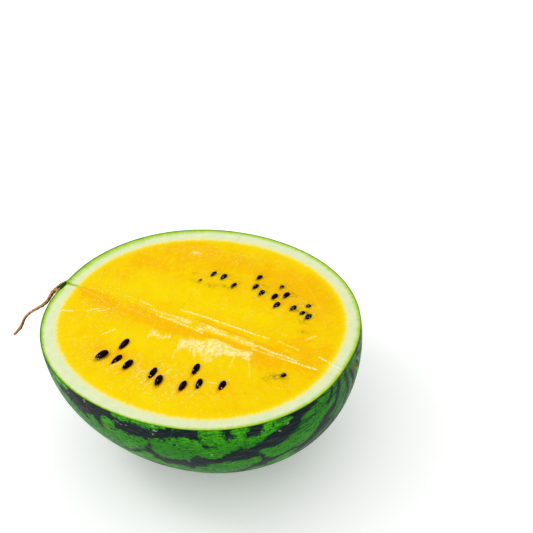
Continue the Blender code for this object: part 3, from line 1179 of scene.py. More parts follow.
    def light_patch(self, points: Array) -> Array:
        """How far inside a light patch each point of the skin lies.

        Args:
            points: Points in millimetres from the fruit's middle.

        Returns:
            Millimetres, negative on the dark bands.
        """
        chart = self.chart(points)
        grown, cracks = self._grown_lobes()
        measured = (
            *self.near_patches, *self.rim_slivers, *self.middle_patches,
            *self.upper_patches, *self.lower_patches, *self.blossom_patches,
        )
        depth = chart[:, 0] - self.pole_cap_start
        depth = np.maximum(depth, -self.pole_cap_start - 3.0 - chart[:, 0])
        for lobe in (*measured, *grown):
            centre = (lobe.along, lobe.around * self.mm_per_degree)
            depth = np.maximum(depth, lobe.radius - np.hypot(*(chart - centre).T))
        outline = self._scaled(self.blossom_outline)
        depth = np.maximum(depth, np.minimum(inside_outline(chart, outline), 4.0))
        for stroke in (*self.dark_strokes, *cracks):
            gap = read_path(chart, self._scaled(stroke.path)).distance
            depth = np.minimum(depth, gap - stroke.half_width)
        at_end = points[:, 0] > self.blossom_end_start
        for stroke in self.blossom_strokes:
            gap = read_path(points[at_end, 1:], stroke.path).distance
            depth[at_end] = np.minimum(depth[at_end], gap - stroke.half_width)
        return depth

    def marks(self, points: Array, blemishes: Iterable[Blemish], end_strokes: Iterable[Stroke]) -> Array:
        """How far inside a blemish each point of the skin lies.

        Args:
            points: Points in millimetres from the fruit's middle.
            blemishes: The blemishes of one kind.
            end_strokes: Those on the blossom end.

        Returns:
            Millimetres, negative outside.
        """
        chart = self.chart(points)
        depth = np.full(len(points), -5.0)
        for mark in blemishes:
            heading = math.radians(mark.heading)
            half = 0.5 * mark.length * np.array((math.cos(heading), math.sin(heading)))
            centre = np.array((mark.along, mark.around * self.mm_per_degree))
            gap = read_path(chart, [tuple(centre - half), tuple(centre + half)]).distance
            depth = np.maximum(depth, mark.half_width - gap)
        at_end = points[:, 0] > self.blossom_end_start
        for stroke in end_strokes:
            gap = read_path(points[at_end, 1:], stroke.path).distance
            depth[at_end] = np.maximum(depth[at_end], stroke.half_width - gap)
        return depth


class Zone(NamedTuple):
    """A soft oval zone of the cut face: its middle, its reach along X and Y, and its strength."""

    x: float
    y: float
    reach_x: float
    reach_y: float
    strength: float


class Strand(NamedTuple):
    """A line on the cut face: its path, half its width, its strength and its rise."""

    path: tuple[Point, ...]
    half_width: float
    strength: float
    rise: float = 0.0


class Swell(NamedTuple):
    """Where an edge of the rind is wider: the heading in radians, the spread and the extra share."""

    heading: float
    spread: float
    extra: float


class Tear(NamedTuple):
    """A torn, whitish place of the cut face: its outline, and how far it is inset."""

    outline: tuple[Point, ...]
    inset: float = 0.0


@dataclass(frozen=True)
class CutFace:
    """What shows on the cut: the rind, the core's ridges, torn places, strands whose whitish lines are partly
    painted highlights, and dull spots that are partly painted shade.
    """

    rind_side: float = 12.0
    rind_swing: float = 1.5
    lime_swells: tuple[Swell, ...] = (Swell(2.75, 0.5, 0.9), Swell(-2.0, 0.65, -0.4))
    line_swells: tuple[Swell, ...] = (Swell(3.0, 0.8, 1.0),)
    fan_near: Point = (-25.0, 60.0)
    fan_far: Point = (-20.0, -70.0)
    fan_arc: float = 100.0
    core_reach: Point = (11.0, 7.5)
    warm_dip: float = 0.45
    core_dip: float = 0.5
    torn_dip: float = 0.9
    ripple_height: float = 0.22
    grit_height: float = 0.15
    comb_height: float = 0.08
    core_line: tuple[Point, ...] = (
        (-128, -1), (-60, -2), (-33, -3), (-7, -5), (5, -3), (50, -7.5), (128, -14),
    )
    # Mostly the flesh's own orange tone; the zones just above the torn places stand for painted shade on the
    # slopes there.
    warm_zones: tuple[Zone, ...] = table(
        Zone, (0, 69, 62, 8, 0.7), (60, 54, 30, 11, 0.75), (-52, 52, 30, 14, 0.4), (98, 12, 12, 26, 0.4),
        (84, 4, 22, 5, 0.6), (76, -14, 24, 5, 0.55), (-92, -6, 12, 4, 0.8), (-68, -12, 16, 6, 0.7),
        (-40, -12, 14, 5, 0.65), (-14, -15, 12, 3.6, 1), (4, -13.5, 8, 2.4, 0.6), (66, -19, 12, 6, 0.7),
        (-84, 30, 10, 7, 0.5), (-86, 21, 12, 4, 0.4), (-75, 44, 12, 8, 0.35), (-42, -54, 16, 7, 0.5),
        (12, -62, 34, 5, 0.3), (66, -42, 22, 12, 0.3), (-78, -36, 14, 8, 0.25), (28, 30, 26, 8, 0.25),
        (70, 30, 14, 10, 0.35), (0, 22, 60, 9, -0.6), (-32, -36, 24, 7, -0.6), (0, -84, 60, 8, -0.45),
        (-92, -44, 14, 14, -0.5), (42, -34, 24, 8, -0.45), (-60, 16, 20, 9, -0.35), (84, -58, 18, 10, -0.3),
    )
    # Painted shade: orange lines in the grooves beside the core's ridges, which are also sunk in the relief.
    groove_shade_lines: tuple[Strand, ...] = table(
        Strand, (((8, -10), (28, -10.2), (42, -12.4), (56, -13.4), (70, -16)), 1.3, 1.3),
        (((2, 0.6), (20, -0.6), (40, -2.4), (62, -5), (80, -6.6)), 1.2, 0.9),
        (((-112, -1.8), (-98, -3), (-86, -5), (-70, -7)), 1.3, 0.9),
        (((-22, -0.4), (-6, -0.2), (4, 1.8)), 0.9, 0.5), (((56, -9.4), (80, -11.6), (106, -14.4)), 1, 0.8),
        (((-60, -5), (-42, -5.4), (-30, -8.6), (-10, -9.8), (8, -10.6)), 1.2, 0.5),
    )
    # Zones of dull olive by the seeds, partly seed showing through the flesh and partly painted shade.
    smudge_and_shade_zones: tuple[Zone, ...] = table(
        Zone, (78, 18, 3, 1.4, 0.6), (81, -29.5, 4, 1.8, 0.9), (75, -34, 2.4, 1.4, 0.6),
        (84, -26, 2.2, 1.6, 0.6), (1, 41.5, 5, 1.5, 0.8), (-12, 38, 4.4, 1.6, 0.6), (-31, 46, 0.9, 1, 1),
        (-27, 38, 2.6, 1.1, 0.5), (53, 51, 4.6, 1.3, 0.6), (64, 37, 4, 1.6, 0.5), (26, 53, 4.4, 1.4, 0.35),
        (73, 27, 4.2, 1.8, 0.45), (-6, 51, 6, 1.4, 0.3), (88, -28, 2, 1, 0.5),
    )
    # Pale lines of fibre, raised in the relief; on the core's ridges their whitish colour is partly painted
    # highlight.
    strands: tuple[Strand, ...] = table(
        Strand, (((-42, -1.6), (-36, -2.8), (-22, -3), (-8, -2.2)), 0.45, 0.55, 0.25),
        (((-34, -5.4), (-26, -6.2), (-16, -7.2), (-3, -8.2), (8, -9.4)), 0.45, 0.8, 0.25),
        (((3, -1.4), (12, -2), (24, -5.2), (40, -6.8), (55, -7.4)), 0.5, 0.7, 0.3),
        (((-19, 5.2), (-3, 5.4), (12, 4.9), (28, 3.9), (48, 2.6), (58, 2.2)), 0.5, 0.95, 0.35),
        (((66, 3), (72, 1.9), (83, 0.4)), 0.4, 0.5, 0.15),
        (((55, -7), (66, -9), (80, -9.4), (88, -10.4)), 0.65, 1, 0.35),
        (((52, -10.8), (64, -11.2), (76, -11.7), (90, -12)), 0.4, 0.7, 0.2),
        (((88, -11.8), (98, -12.5), (105, -12.4)), 0.6, 1, 0.3),
        (((101, -0.9), (108, -2.6), (114, -4.2), (120, -5.6)), 0.5, 1, 0.25),
        (((-54, 2.6), (-48, 1.4), (-43, 1.4)), 0.6, 0.55, 0.2), (((-68, 3.6), (-58, 2.6)), 0.3, 0.2, 0.1),
        (((-106, -2), (-98, -4), (-88, -5.2), (-80, -8.6)), 0.3, 0.22, 0.1),
        (((-58, -8), (-50, -8.6), (-43, -9.6)), 0.3, 0.15, 0.1),
        (((-105.5, -29.4), (-102, -28.2), (-97, -26.6)), 0.4, 1, 0.2),
        (((-86, -22.4), (-83.6, -19.6), (-80, -17.2)), 0.7, 0.8, 0.2),
        (((-78, -19), (-74, -17), (-72, -14)), 0.5, 0.6, 0.1),
        (((-60.5, -39.5), (-57.6, -35.6), (-54.6, -31.4)), 0.7, 0.6, 0.2),
        (((84, 11.5), (86, 14), (88, 17)), 0.6, 0.45, 0.1), (((43, -19), (44, -26), (45.5, -33)), 0.6, 0.3),
        (((53, -18), (58, -27), (64, -37)), 0.5, 0.22), (((-1, -27), (0, -34), (2.5, -41)), 0.6, 0.3),
        (((22, -34), (26, -42)), 0.5, 0.2), (((-27.6, -26), (-26.6, -33)), 0.6, 0.35),
        (((-12.5, -67.4), (-12.6, -62.6), (-10.9, -59.8)), 0.3, 0.5),
        (((4.8, -57.6), (6.9, -51.4)), 0.3, 0.6), (((38.7, -52.2), (44.9, -50.8)), 0.3, 0.45),
        (((-28.7, -70.3), (-26.1, -67)), 0.3, 0.5),
        (((-6.1, -71.2), (-3.8, -65.5), (-0.7, -63.7)), 0.3, 0.5),
        (((34.6, -67.5), (34.9, -61.7), (35.3, -58.3)), 0.3, 0.5),
        (((49.7, -47.2), (52.1, -44.1)), 0.3, 0.4), (((-47.4, -64.2), (-45.7, -60.2)), 0.3, 0.35),
        (((-97, 40), (-90, 50), (-80, 58), (-66, 65), (-49, 70.5), (-30, 75.5), (-9, 79), (8, 79.6),
          (24, 78.4), (38, 75), (48, 71), (57, 65.6), (67, 57.4), (76, 48), (84, 40), (91, 30)),
          0.3, 0.08, 0.15),
    )
    tears: tuple[Tear, ...] = table(
        Tear,
        (((-3.2, -21), (-1, -20), (2.5, -19.6), (4, -18.2), (11, -17.2), (15, -16.6), (17, -14.5),
          (19, -12.6), (23, -12), (30, -12.8), (35, -13), (37, -14.4), (41, -14), (49, -14.2), (52, -13.4),
          (53.5, -15.5), (53.4, -18), (55, -22), (51, -23), (47, -21), (43, -21), (39, -24), (36, -23),
          (33, -26), (32, -33), (29, -38), (22, -36), (18, -38), (12, -35), (8, -30), (4, -31), (1, -37),
          (-1.5, -34), (-3, -27)), 0),
        (((-28.5, -21), (-26.5, -20.6), (-24, -21.5), (-22, -22.6), (-19.5, -23.2), (-16, -23.4),
          (-14.5, -21.6), (-11.5, -21.6), (-10, -23.4), (-11, -25.6), (-13, -24.6), (-15, -26.4),
          (-18, -28.6), (-20, -28), (-22, -27), (-24.5, -26.6), (-25.6, -29.5), (-26.6, -32), (-27.8, -28)),
          0.3),
        (((-21, -3), (-17, -2.2), (-12.5, -2.6), (-12, -1.8), (-8, -2), (-6, -4), (-5.5, -5.2),
          (-8.5, -6.6), (-11, -5.2), (-14, -4.6), (-20, -5)), -0.2),
        (((1.5, -2.2), (5, -1.2), (10, -1.2), (18, -1.6), (25, -2.6), (28, -5.5), (30, -6.8), (24, -7.2),
          (20, -7.5), (14, -6), (8, -6.5), (3, -9), (1.8, -5)), 0.5),
        (((31, -4.2), (36, -3.4), (40, -4.2), (49, -5), (54, -7.2), (52, -8.6), (44, -8.6), (36, -7.2),
          (33, -6.6)), 0.4),
        (((-34, -3.4), (-29, -3), (-28, -5), (-29.5, -7.4), (-33, -6)), 0.6),
        (((-46, 70), (-42, 71.5), (-38, 70), (-39, 66.5), (-43, 65), (-47, 67)), 0.9),
    )
    glints: tuple[Zone, ...] = table(
        Zone, (-92, 14, 14, 14, 0.35), (-88, -4, 26, 9, 0.4), (-74, -12, 14, 8, 0.5),
        (-80, -20, 12, 7, 0.5), (-46, -6, 30, 7, 0.3), (-20, -60, 26, 10, 0.55), (-60, -58, 16, 9, 0.5),
        (8, -72, 22, 8, 0.7), (38, -62, 16, 9, 0.5), (20, 0, 50, 10, 0.2), (-44, 66, 14, 6, 0.5),
        (-20, 74, 40, 4, 0.3), (-96, -44, 10, 16, 0.35), (36, -22, 24, 9, 0.2), (40, 44, 40, 12, 0.1),
        (20, -40, 30, 8, 0.2),
    )
    # Where whitish threads show, partly juice and partly painted wet highlights.
    threads: tuple[Zone, ...] = table(
        Zone, (-46, -64, 12, 5, 0.9), (-14, -62, 12, 6, 0.9), (4, -72, 12, 5, 1), (34, -64, 12, 5, 0.8),
        (-66, -52, 9, 4, 0.5), (-78, -18, 10, 5, 0.4), (14, -52, 10, 5, 0.6), (-42, 68, 8, 4, 0.5),
        (62, 42, 12, 5, 0.35),
    )
    vein_path: tuple[Point, ...] = (
        (-124, -1.6), (-120, -1.4), (-116, -1.4), (-112, -0.8), (-108, -1.6), (-104, -2.2), (-98, -3.2),
    )

    def zone_sum(self, points: Array, zones: Iterable[Zone]) -> Array:
        """Add up soft zones at points of the face.

        Args:
            points: Places on the face, in millimetres.
            zones: The zones.

        Returns:
            Their sum at each point.
        """
        total = np.zeros(len(points))
        for zone in zones:
            reach_x = bell(points[:, 0] - zone.x, zone.reach_x)
            total += zone.strength * reach_x * bell(points[:, 1] - zone.y, zone.reach_y)
        return total

    def warmth(self, points: Array) -> Array:
        """How orange the flesh is: the zones, and the lines beside the core's ridges, which are painted shade
        in their grooves.
        """
        total = self.zone_sum(points, self.warm_zones)
        for line in self.groove_shade_lines:
            total += line.strength * bell(read_path(points, line.path).distance, line.half_width)
        return total

    def rind_thickness(self, points: Array) -> Array:
        """Thickness of the rind beside each point: fuller towards the stem end and far side."""
        heading = np.arctan2(points[:, 1], points[:, 0])
        swing = -0.7 * np.cos(heading) + 0.3 * np.sin(heading) + 0.3 * np.cos(3 * heading + 0.6)
        return self.rind_side + self.rind_swing * swing

    def edge_reach(self, points: Array, swells: Iterable[Swell]) -> Array:
        """How many times its usual width an edge is beside each point.

        Args:
            points: Places on the face, in millimetres.
            swells: Where the edge is wider or narrower.

        Returns:
            The widths, 1 where it is as usual.
        """
        heading = np.arctan2(points[:, 1], points[:, 0])
        reach = np.ones(len(points))
        for swell in swells:
            turn = np.angle(np.exp(1j * (heading - swell.heading)))
            reach += swell.extra * bell(turn, swell.spread)
        return reach

    def torn(self, points: Array) -> Array:
        """Millimetres inside a torn place, fading towards its lower side."""
        depth = np.full(len(points), -20.0)
        for tear in self.tears:
            depth = np.maximum(depth, inside_outline(points, tear.outline) - tear.inset)
        return np.minimum(depth, 1.6) - 2.3 * smooth_step(-20.0, -37.0, points[:, 1])

    def strand_mask(self, points: Array) -> Array:
        """How strongly a pale strand shows at each point.

        Args:
            points: Places on the face, in millimetres.

        Returns:
            Strengths from 0 to 1.
        """
        mask = np.zeros(len(points))
        for strand in self.strands:
            gap = read_path(points, strand.path).distance
            shown = strand.strength * smooth_step(0.8 * strand.half_width + 0.35, 0.1, gap)
            mask = np.maximum(mask, shown)
        return mask

    def vein_mask(self, points: Array) -> Array:
        """The green vein that enters the flesh from the stem.

        Args:
            points: Places on the face, in millimetres.

        Returns:
            Strengths from 0 to 1.
        """
        reading = read_path(points, self.vein_path)
        width = 4.0 - 2.3 * smooth_step(0.0, 10.0, reading.along)
        strength = 0.95 - 0.3 * smooth_step(3.0, 9.0, reading.along)
        strength *= 1.0 - 0.95 * smooth_step(9.0, 20.0, reading.along)
        return strength * smooth_step(width, 0.2 * width, reading.distance)

    def fan(self, points: Array) -> Array:
        """Coordinates across and along the fibres, which fan out from behind the core.

        Args:
            points: Places on the face, in millimetres.

        Returns:
            Rows of the arc across the fibres, the run along them, and which half it is in.
        """
        core = read_path(points, self.core_line)
        near = core.side < 0
        rows = []
        for middle in (self.fan_near, self.fan_far):
            offset = points - np.array(middle)
            arc = np.arctan2(offset[:, 0], -offset[:, 1]) * self.fan_arc
            rows.append(np.column_stack([arc, np.hypot(*offset.T)]))
        fan = np.where(near[:, None], rows[0], rows[1])
        return np.column_stack([fan, np.where(near, 0.0, 40.0)]) * MM

    def relief(self, points: Array) -> Array:
        """Height of the bare face above the cut plane.

        Args:
            points: Places on the face, in millimetres.

        Returns:
            Heights in millimetres, mostly a little below zero.
        """
        x, y = points.T
        height = np.zeros(len(points))
        for strand in self.strands:
            gap = read_path(points, strand.path).distance
            height += strand.rise * bell(gap, strand.half_width + 0.15)
        for line in self.groove_shade_lines:
            gap = read_path(points, line.path).distance
            height -= self.warm_dip * line.strength * bell(gap, 0.8 * line.half_width)
        core = read_path(points, self.core_line)
        offset = core.distance * core.side
        middle = bell(x - 5.0, 52.0)
        height -= self.core_dip * middle * bell(offset + 7.5, 3.4)
        height -= 0.35 * smooth_step(3.0, -2.0, offset) * middle
        inside = self.torn(points)
        height -= self.torn_dip * smooth_step(-1.0, 2.0, inside) * smooth_step(-40.0, -16.0, y)
        fan = self.fan(points) / MM
        ripples = np.array([noise.noise((px / 9.0, py / 9.0, 0.0)) for px, py in points])
        grit = np.array([noise.noise((px / 2.4, py / 2.4, 4.0)) for px, py in points])
        combed = np.array([noise.noise((arc / 2.6, run / 12.0, half / 7.0)) for arc, run, half in fan])
        rough = 1.0 + 0.4 * smooth_step(-1.0, 2.0, inside)
        fine = self.grit_height * grit + self.comb_height * combed
        return height + self.ripple_height * ripples + fine * rough

    def traits(self, points: Array, grain: Array) -> dict[Trait, Array]:
        """Every trait that the face's colours need, apart from those of its seeds.

        Args:
            points: Places on the face, in millimetres.
            grain: Coordinates round the rim and inwards, in metres.

        Returns:
            The values by trait.
        """
        depth = grain[:, 2] / MM
        return {
            Trait.GRAIN: grain,
            Trait.FAN: self.fan(points),
            Trait.RIM_DEPTH: depth,
            Trait.LIME_DEPTH: depth / self.edge_reach(points, self.lime_swells),
            Trait.LINE_DEPTH: depth / self.edge_reach(points, self.line_swells),
            Trait.FLESH_DEPTH: depth - self.rind_thickness(points),
            Trait.WARMTH: self.warmth(points),
            Trait.TORN: self.torn(points),
            Trait.STRAND: self.strand_mask(points),
            Trait.GLINTS: self.zone_sum(points, self.glints),
            Trait.THREADS: np.clip(self.zone_sum(points, self.threads), 0.0, 1.0),
            Trait.VEIN: self.vein_mask(points),
            Trait.CORE: smooth_step(*self.core_reach, read_path(points, self.core_line).distance),
        }


@dataclass(frozen=True)
class SeedPlace:
    """Where one seed lies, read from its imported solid: centre, axes and half sizes in mm."""

    node: str
    centre: Array
    axes: Array
    half_size: Array
    taper: float = 0.24

    @classmethod
    def from_node(cls, node: str, solid: bpy.types.Object, middle_height: float) -> "SeedPlace":
        """Read a seed's place from its solid.

        Args:
            node: The node's name.
            solid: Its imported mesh.
            middle_height: Height of the fruit's middle in millimetres.

        Returns:
            The place, its first axis pointing at the blunt end and its third one upwards.
        """
        corners = np.array([v.co for v in solid.data.vertices]) / MM
        corners[:, 2] -= middle_height
        centred = corners - corners.mean(axis=0)
        _, axes = np.linalg.eigh(centred.T @ centred)
        axes = axes[:, ::-1].T
        if axes[0, 1] < 0:
            axes[0] *= -1
        if axes[2, 2] < 0:
            axes[2] *= -1
        axes[1] = np.cross(axes[2], axes[0])
        spans = corners @ axes.T
        half_size = np.ptp(spans, axis=0) / 2
        centre = (spans.max(axis=0) + spans.min(axis=0)) / 2 @ axes
        return cls(node, centre, axes, half_size)

    def fullness(self, share: Array) -> Array:
        """How full the seed is at a share of its half length, -1 at the point, 1 at the blunt end."""
        return (1 + self.taper * share) / (1 + 0.45 * self.taper**2)

    def column(self, points: Array, level: float) -> tuple[Array, Array, Array]:
        """Measure the seed on vertical lines through points of the face.

        Args:
            points: Places on the face, in millimetres.
            level: Height of the cut above the fruit's middle.

        Returns:
            The lowest and highest height of the seed over the cut on each line, and how far
            the line passes from the part above the cut, as a share of the seed's radius.
        """
        start = np.column_stack([points, np.full(len(points), level)]) - self.centre
        origin = start @ self.axes.T / self.half_size
        heading = self.axes[:, 2] / self.half_size
        closest = -(origin @ heading) / (heading @ heading)
        share = np.clip(origin[:, 0] + closest * heading[0], -1.0, 1.0)
        full = self.fullness(share)[:, None]
        origin = origin / np.hstack([np.ones_like(full), full, full])
        above = np.maximum(closest, 0.0)
        radius = np.linalg.norm(origin + above[:, None] * heading, axis=1)
        miss = np.linalg.norm(origin + closest[:, None] * heading, axis=1)
        half_chord = np.sqrt(np.maximum(1.0 - miss**2, 0.0)) / np.linalg.norm(heading)
        return closest - half_chord, closest + half_chord, radius


@dataclass
class SeedSet:
    """Every seed of the half, as one fine drop shape set into each packed seed's place."""

    form: FruitForm
    seed: int = 26
    rings: int = 30
    segments: int = 44
    keel: float = 0.05
    scar_depth: float = 0.16
    scar_pinch: float = 0.25
    squareness: float = 0.92
    waviness: float = 0.018
    far_row: float = 15.0
    far_scale: float = 0.94
    far_spark: float = 0.68
    near_scale: Point3 = (1.0, 0.93, 1.0)
    broken_seed: str = "seed_11"
    broken_scale: Point3 = (0.82, 0.9, 1.0)
    places: list[SeedPlace] = field(default_factory=list)

    def find(self, nodes: dict[str, bpy.types.Object]) -> None:
        """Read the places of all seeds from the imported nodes.

        Args:
            nodes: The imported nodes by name.
        """
        for name in sorted(nodes):
            if name.startswith("seed_"):
                place = SeedPlace.from_node(name, nodes[name], self.form.axis_height)
                scale = np.array(self.broken_scale if name == self.broken_seed else self.near_scale)
                scale = self.far_scale if self.is_far(place) else scale
                self.places.append(replace(place, half_size=place.half_size * scale))

    def is_far(self, place: SeedPlace) -> bool:
        """Whether a seed lies in the far row."""
        return bool(place.centre[1] > self.far_row)

    def _drop(self, place: SeedPlace, rng: np.random.Generator) -> tuple[Array, Faces, Array]:
        """Shape one seed in its own axes.

        Args:
            place: Where it lies and how large it is.
            rng: Draws of this seed's small irregularities.

        Returns:
            Its points in millimetres, its faces, and the share of painted glints at each point: rising
            towards the pointed end, even over a far seed, and full over the broken one.
        """
        angles = np.linspace(0.0, math.pi, self.rings + 1)[1:-1]
        turns = np.linspace(0.0, math.tau, self.segments, endpoint=False)
        ring, turn = np.meshgrid(angles, turns, indexing="ij")
        share = -np.cos(ring).ravel()
        turn = turn.ravel()
        full = place.fullness(share) * np.sqrt(1.0 - share**2)
        flat = np.sign(np.cos(turn)) * np.abs(np.cos(turn)) ** self.squareness
        keel = 1.0 + self.keel * bell(np.sin(turn), 0.16) * (1.0 - 0.6 * share**2)
        beat = np.sin(2 * turn + rng.uniform(0, math.tau)) * np.sin(3.1 * share)
        wave = 1.0 + self.waviness * beat
        points = np.stack([share, full * flat * keel * wave, full * np.sin(turn) * wave], axis=-1)
        scar = bell(share + 1.0, 0.13)
        points[:, 1] *= 1.0 - self.scar_pinch * scar
        points[:, 0] += self.scar_depth * scar * bell(points[:, 1], 0.12)
        ends = np.array([[-1.0 + self.scar_depth, 0.0, 0.0], [1.0, 0.0, 0.0]])
        points = np.vstack([points, ends]) * place.half_size
        count = self.segments
        faces = ring_quads(len(angles), count)
        first, last = len(points) - 2, len(points) - 1
        base = (len(angles) - 1) * count
        faces += [(first, (column + 1) % count, column) for column in range(count)]
        faces += [(last, base + column, base + (column + 1) % count) for column in range(count)]
        glint_share = smooth_step(0.5, -0.7, np.concatenate([share, (-1.0, 1.0)]))
        if place.node == self.broken_seed:
            return points, faces, np.ones_like(glint_share)
        return points, faces, np.full_like(glint_share, self.far_spark) if self.is_far(place) else glint_share

    def build(self, material: bpy.types.Material) -> list[bpy.types.Object]:
        """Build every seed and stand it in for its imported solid.

        Args:
            material: The seed coat.

        Returns:
            The seeds.
        """
        rng = np.random.default_rng(self.seed)
        made = []
        for place in self.places:
            points, faces, glint_share = self._drop(place, rng)
            world = points @ place.axes + place.centre
            world[:, 2] += self.form.axis_height
            mesh = bpy.data.meshes.new(place.node + "_coat")
            mesh.from_pydata((world * MM).tolist(), [], faces)
            write_trait(mesh, Trait.SEED_TIP, glint_share)
            mesh.materials.append(material)
            mesh.shade_smooth()
            seed = link_object(place.node + "_coat", mesh)
            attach(seed, BODY)
            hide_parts(place.node)
            made.append(seed)
        return made


@dataclass
class MelonHalf:
    """The half itself: one closed mesh of skin, resting spot and cut face."""

    form: FruitForm
    pattern: StripePattern
    face: CutFace
    seeds: SeedSet
    columns: int = 480
    rows: int = 102
    camera_side: float = -1.0
    crowding: float = 0.3
    row_growth: float = 0.36
    face_step: float = 1.35
    fine_step: float = 0.85
    fine_bands: tuple[Point, ...] = ((-35.0, 8.0), (-71.0, -37.0), (33.0, 64.0))
    strand_step: float = 0.8
    strand_offsets: Point = (0.45, 0.95)
    strand_merge: float = 0.3
    spot_shares: Point3 = (0.75, 0.5, 0.25)
    socket_gap: float = 0.12
    socket_lip: float = 0.22
    socket_dip: float = 0.32
    seed_reach: float = 14.0
    # How strongly the far seeds' dull olive shows, partly painted shadow that is heavier on the side away
    # from the light.
    far_smudge_and_shade: float = 0.95
    shade_side: Point = (0.8, -0.6)
    stem_foot: Point3 = (-123.8, -5.4, 6.0)
    foot_stretch: Point3 = (1.0, 0.62, 1.0)
    nub_reach: float = 4.7
    end_start: float = 92.0
    end_full: float = 116.0
    sharp_edge: float = 50.0

    def _azimuths(self) -> Array:
        """Directions of the columns, closer together on the camera's side."""
        even = np.linspace(0.0, math.tau, self.columns, endpoint=False)
        return even - self.crowding * np.sin(even - self.camera_side)

    def _skin(self) -> Array:
        """Rings of skin points from the rim down to the resting spot.

        Returns:
            The points, ring by ring.
        """
        azimuths = self._azimuths()
        rim = self.form.elevations_at(self.form.cut_above_axis, azimuths, -0.3, 0.4)
        spot = self.form.elevations_at(-self.form.axis_height, azimuths, -math.pi / 2, -1.0)
        even = np.linspace(0.0, 1.0, self.rows + 1)
        shares = even + self.row_growth * (even**2 - even)
        rings = [
            self.form.skin_points(directions_from(azimuths, rim + share * (spot - rim)))
            for share in shares
        ]
        rings[0][:, 2] = self.form.cut_above_axis
        rings[-1][:, 2] = -self.form.axis_height
        return np.array(rings)

    def _face_places(self, rim: Array) -> Array:
        """Places inside the rim for the face's vertices, finer where the relief is fine.

        Args:
            rim: The rim's points.

        Returns:
            Places as rows of X and Y.
        """
        rows = []
        y, shifted = rim[:, 1].min() + 1.0, False
        while y < rim[:, 1].max():
            fine = any(low <= y <= high for low, high in self.fine_bands)
            step = self.fine_step if fine else self.face_step
            x = np.arange(-self.form.half_length, self.form.half_length, step)
            x += 0.5 * step if shifted else 0.0
            rows.append(np.column_stack([x, np.full(len(x), y)]))
            y += step * 0.9
            shifted = not shifted
        places = np.vstack(rows)
        for strand in self.face.strands:
            gap = read_path(places, strand.path).distance
            places = places[gap > self.strand_offsets[-1] + 0.4]
        places = np.vstack([places, self._strand_places()])
        depth = inside_outline(places, [tuple(point) for point in rim[::2, :2]])
        return places[depth > 0.8 * self.face_step]

    def _strand_places(self) -> Array:
        """Places on and beside every strand, so that each keeps its sharp edges.

        Returns:
            Places as rows of X and Y.
        """
        made = []
        for strand in self.face.strands:
            for start, end in zip(strand.path, strand.path[1:]):
                run = np.array(end) - start
                length = float(np.hypot(*run))
                across = np.array((-run[1], run[0])) / length
                for share in np.arange(0.5, length / self.strand_step) * self.strand_step / length:
                    on_line = np.array(start) + share * run
                    made += [on_line + offset * across for offset in (0.0, *self.strand_offsets)]
                    made += [on_line - offset * across for offset in self.strand_offsets]
        grid = np.round(np.array(made) / self.strand_merge)
        _, kept = np.unique(grid, axis=0, return_index=True)
        return np.array(made)[kept]

    def _face_height(self, places: Array) -> tuple[Array, dict[Trait, Array]]:
        """Heights of the face over the cut, with a socket under every seed.

        Args:
            places: Places on the face.

        Returns:
            Heights, and the traits of the flesh around and over seeds, among them its painted shadows.
        """
        height = self.face.relief(places)
        seed_shade_and_floor_glow, buried, dull = (np.zeros(len(places)) for _ in range(3))
        for place in self.seeds.places:
            is_far = self.seeds.is_far(place)
            near = np.hypot(*(places - place.centre[:2]).T) < self.seed_reach
            low, high, radius = place.column(places[near], self.form.cut_above_axis)
            outside = np.maximum(radius - 1.0, 0.0) * float(place.half_size[1])
            hit = high > low
            rim_lip = self.socket_lip * bell(outside - 0.7, 0.5) if is_far else 0.0
            settled = height[near] - self.socket_dip * bell(outside, 0.5) + rim_lip
            low = low - self.socket_gap
            height[near] = np.where(hit & (high > 0.0), np.minimum(settled, low), settled)
            offset = places[near] - place.centre[:2]
            shaded = smooth_step(-1.5, 2.0, offset @ np.array(self.shade_side))
            shown = float((high[hit] > 0).any())
            # Far seeds: dull olive around them, partly the seed showing through and partly painted shadow on
            # the side away from the light.
            if is_far:
                dull[near] += self.far_smudge_and_shade * shown * bell(outside, 1.5) * (0.35 + 0.65 * shaded)
            else:
                # Painted shadow around each near seed, heavier on the side away from the light.
                near_seed_shade = shown * bell(outside, 1.0) * (0.25 + 0.75 * shaded)
                seed_shade_and_floor_glow[near] = np.maximum(seed_shade_and_floor_glow[near], near_seed_shade)
            covered = np.where(hit & (high <= 0.0), np.exp(high / 0.75), 0.0)
            buried[near] = np.maximum(buried[near], covered)
        dull += self.face.zone_sum(places, self.face.smudge_and_shade_zones)
        return height, {Trait.SEED_GLOW: seed_shade_and_floor_glow, Trait.BURIED: buried, Trait.SMUDGE: dull}

    def _grain(self, places: Array, rim: Array) -> Array:
        """Coordinates that run round the rim and inwards, for fibres square to the rim.

        Args:
            places: Places on the face.
            rim: The rim's points.

        Returns:
            Rows of two round coordinates and the depth, in metres.
        """
        closed = np.vstack([rim[:, :2], rim[:1, :2]])
        perimeter = float(np.hypot(*np.diff(closed, axis=0).T).sum())
        reading = read_path(places, [tuple(point) for point in closed])
        turn = math.tau * reading.along / perimeter
        radius = perimeter / math.tau
        return np.column_stack([radius * np.cos(turn), radius * np.sin(turn), reading.distance]) * MM

    def _face_mesh(self, rim: Array) -> tuple[Array, Faces]:
        """Join the rim and the inner places with triangles.

        Args:
            rim: The rim's points.

        Returns:
            The inner places, and triangles whose indices count the rim first.
        """
        places = self._face_places(rim)
        flat = [Vector(point) for point in np.vstack([rim[:, :2], places])]
        count = len(rim)
        border = [(i, (i + 1) % count) for i in range(count)]
        result = delaunay_2d_cdt(flat, border, [], 1, 1e-6)
        origin = [sources[0] for sources in result[3]]
        triangles = [tuple(origin[corner] for corner in face) for face in result[2]]
        return places, triangles

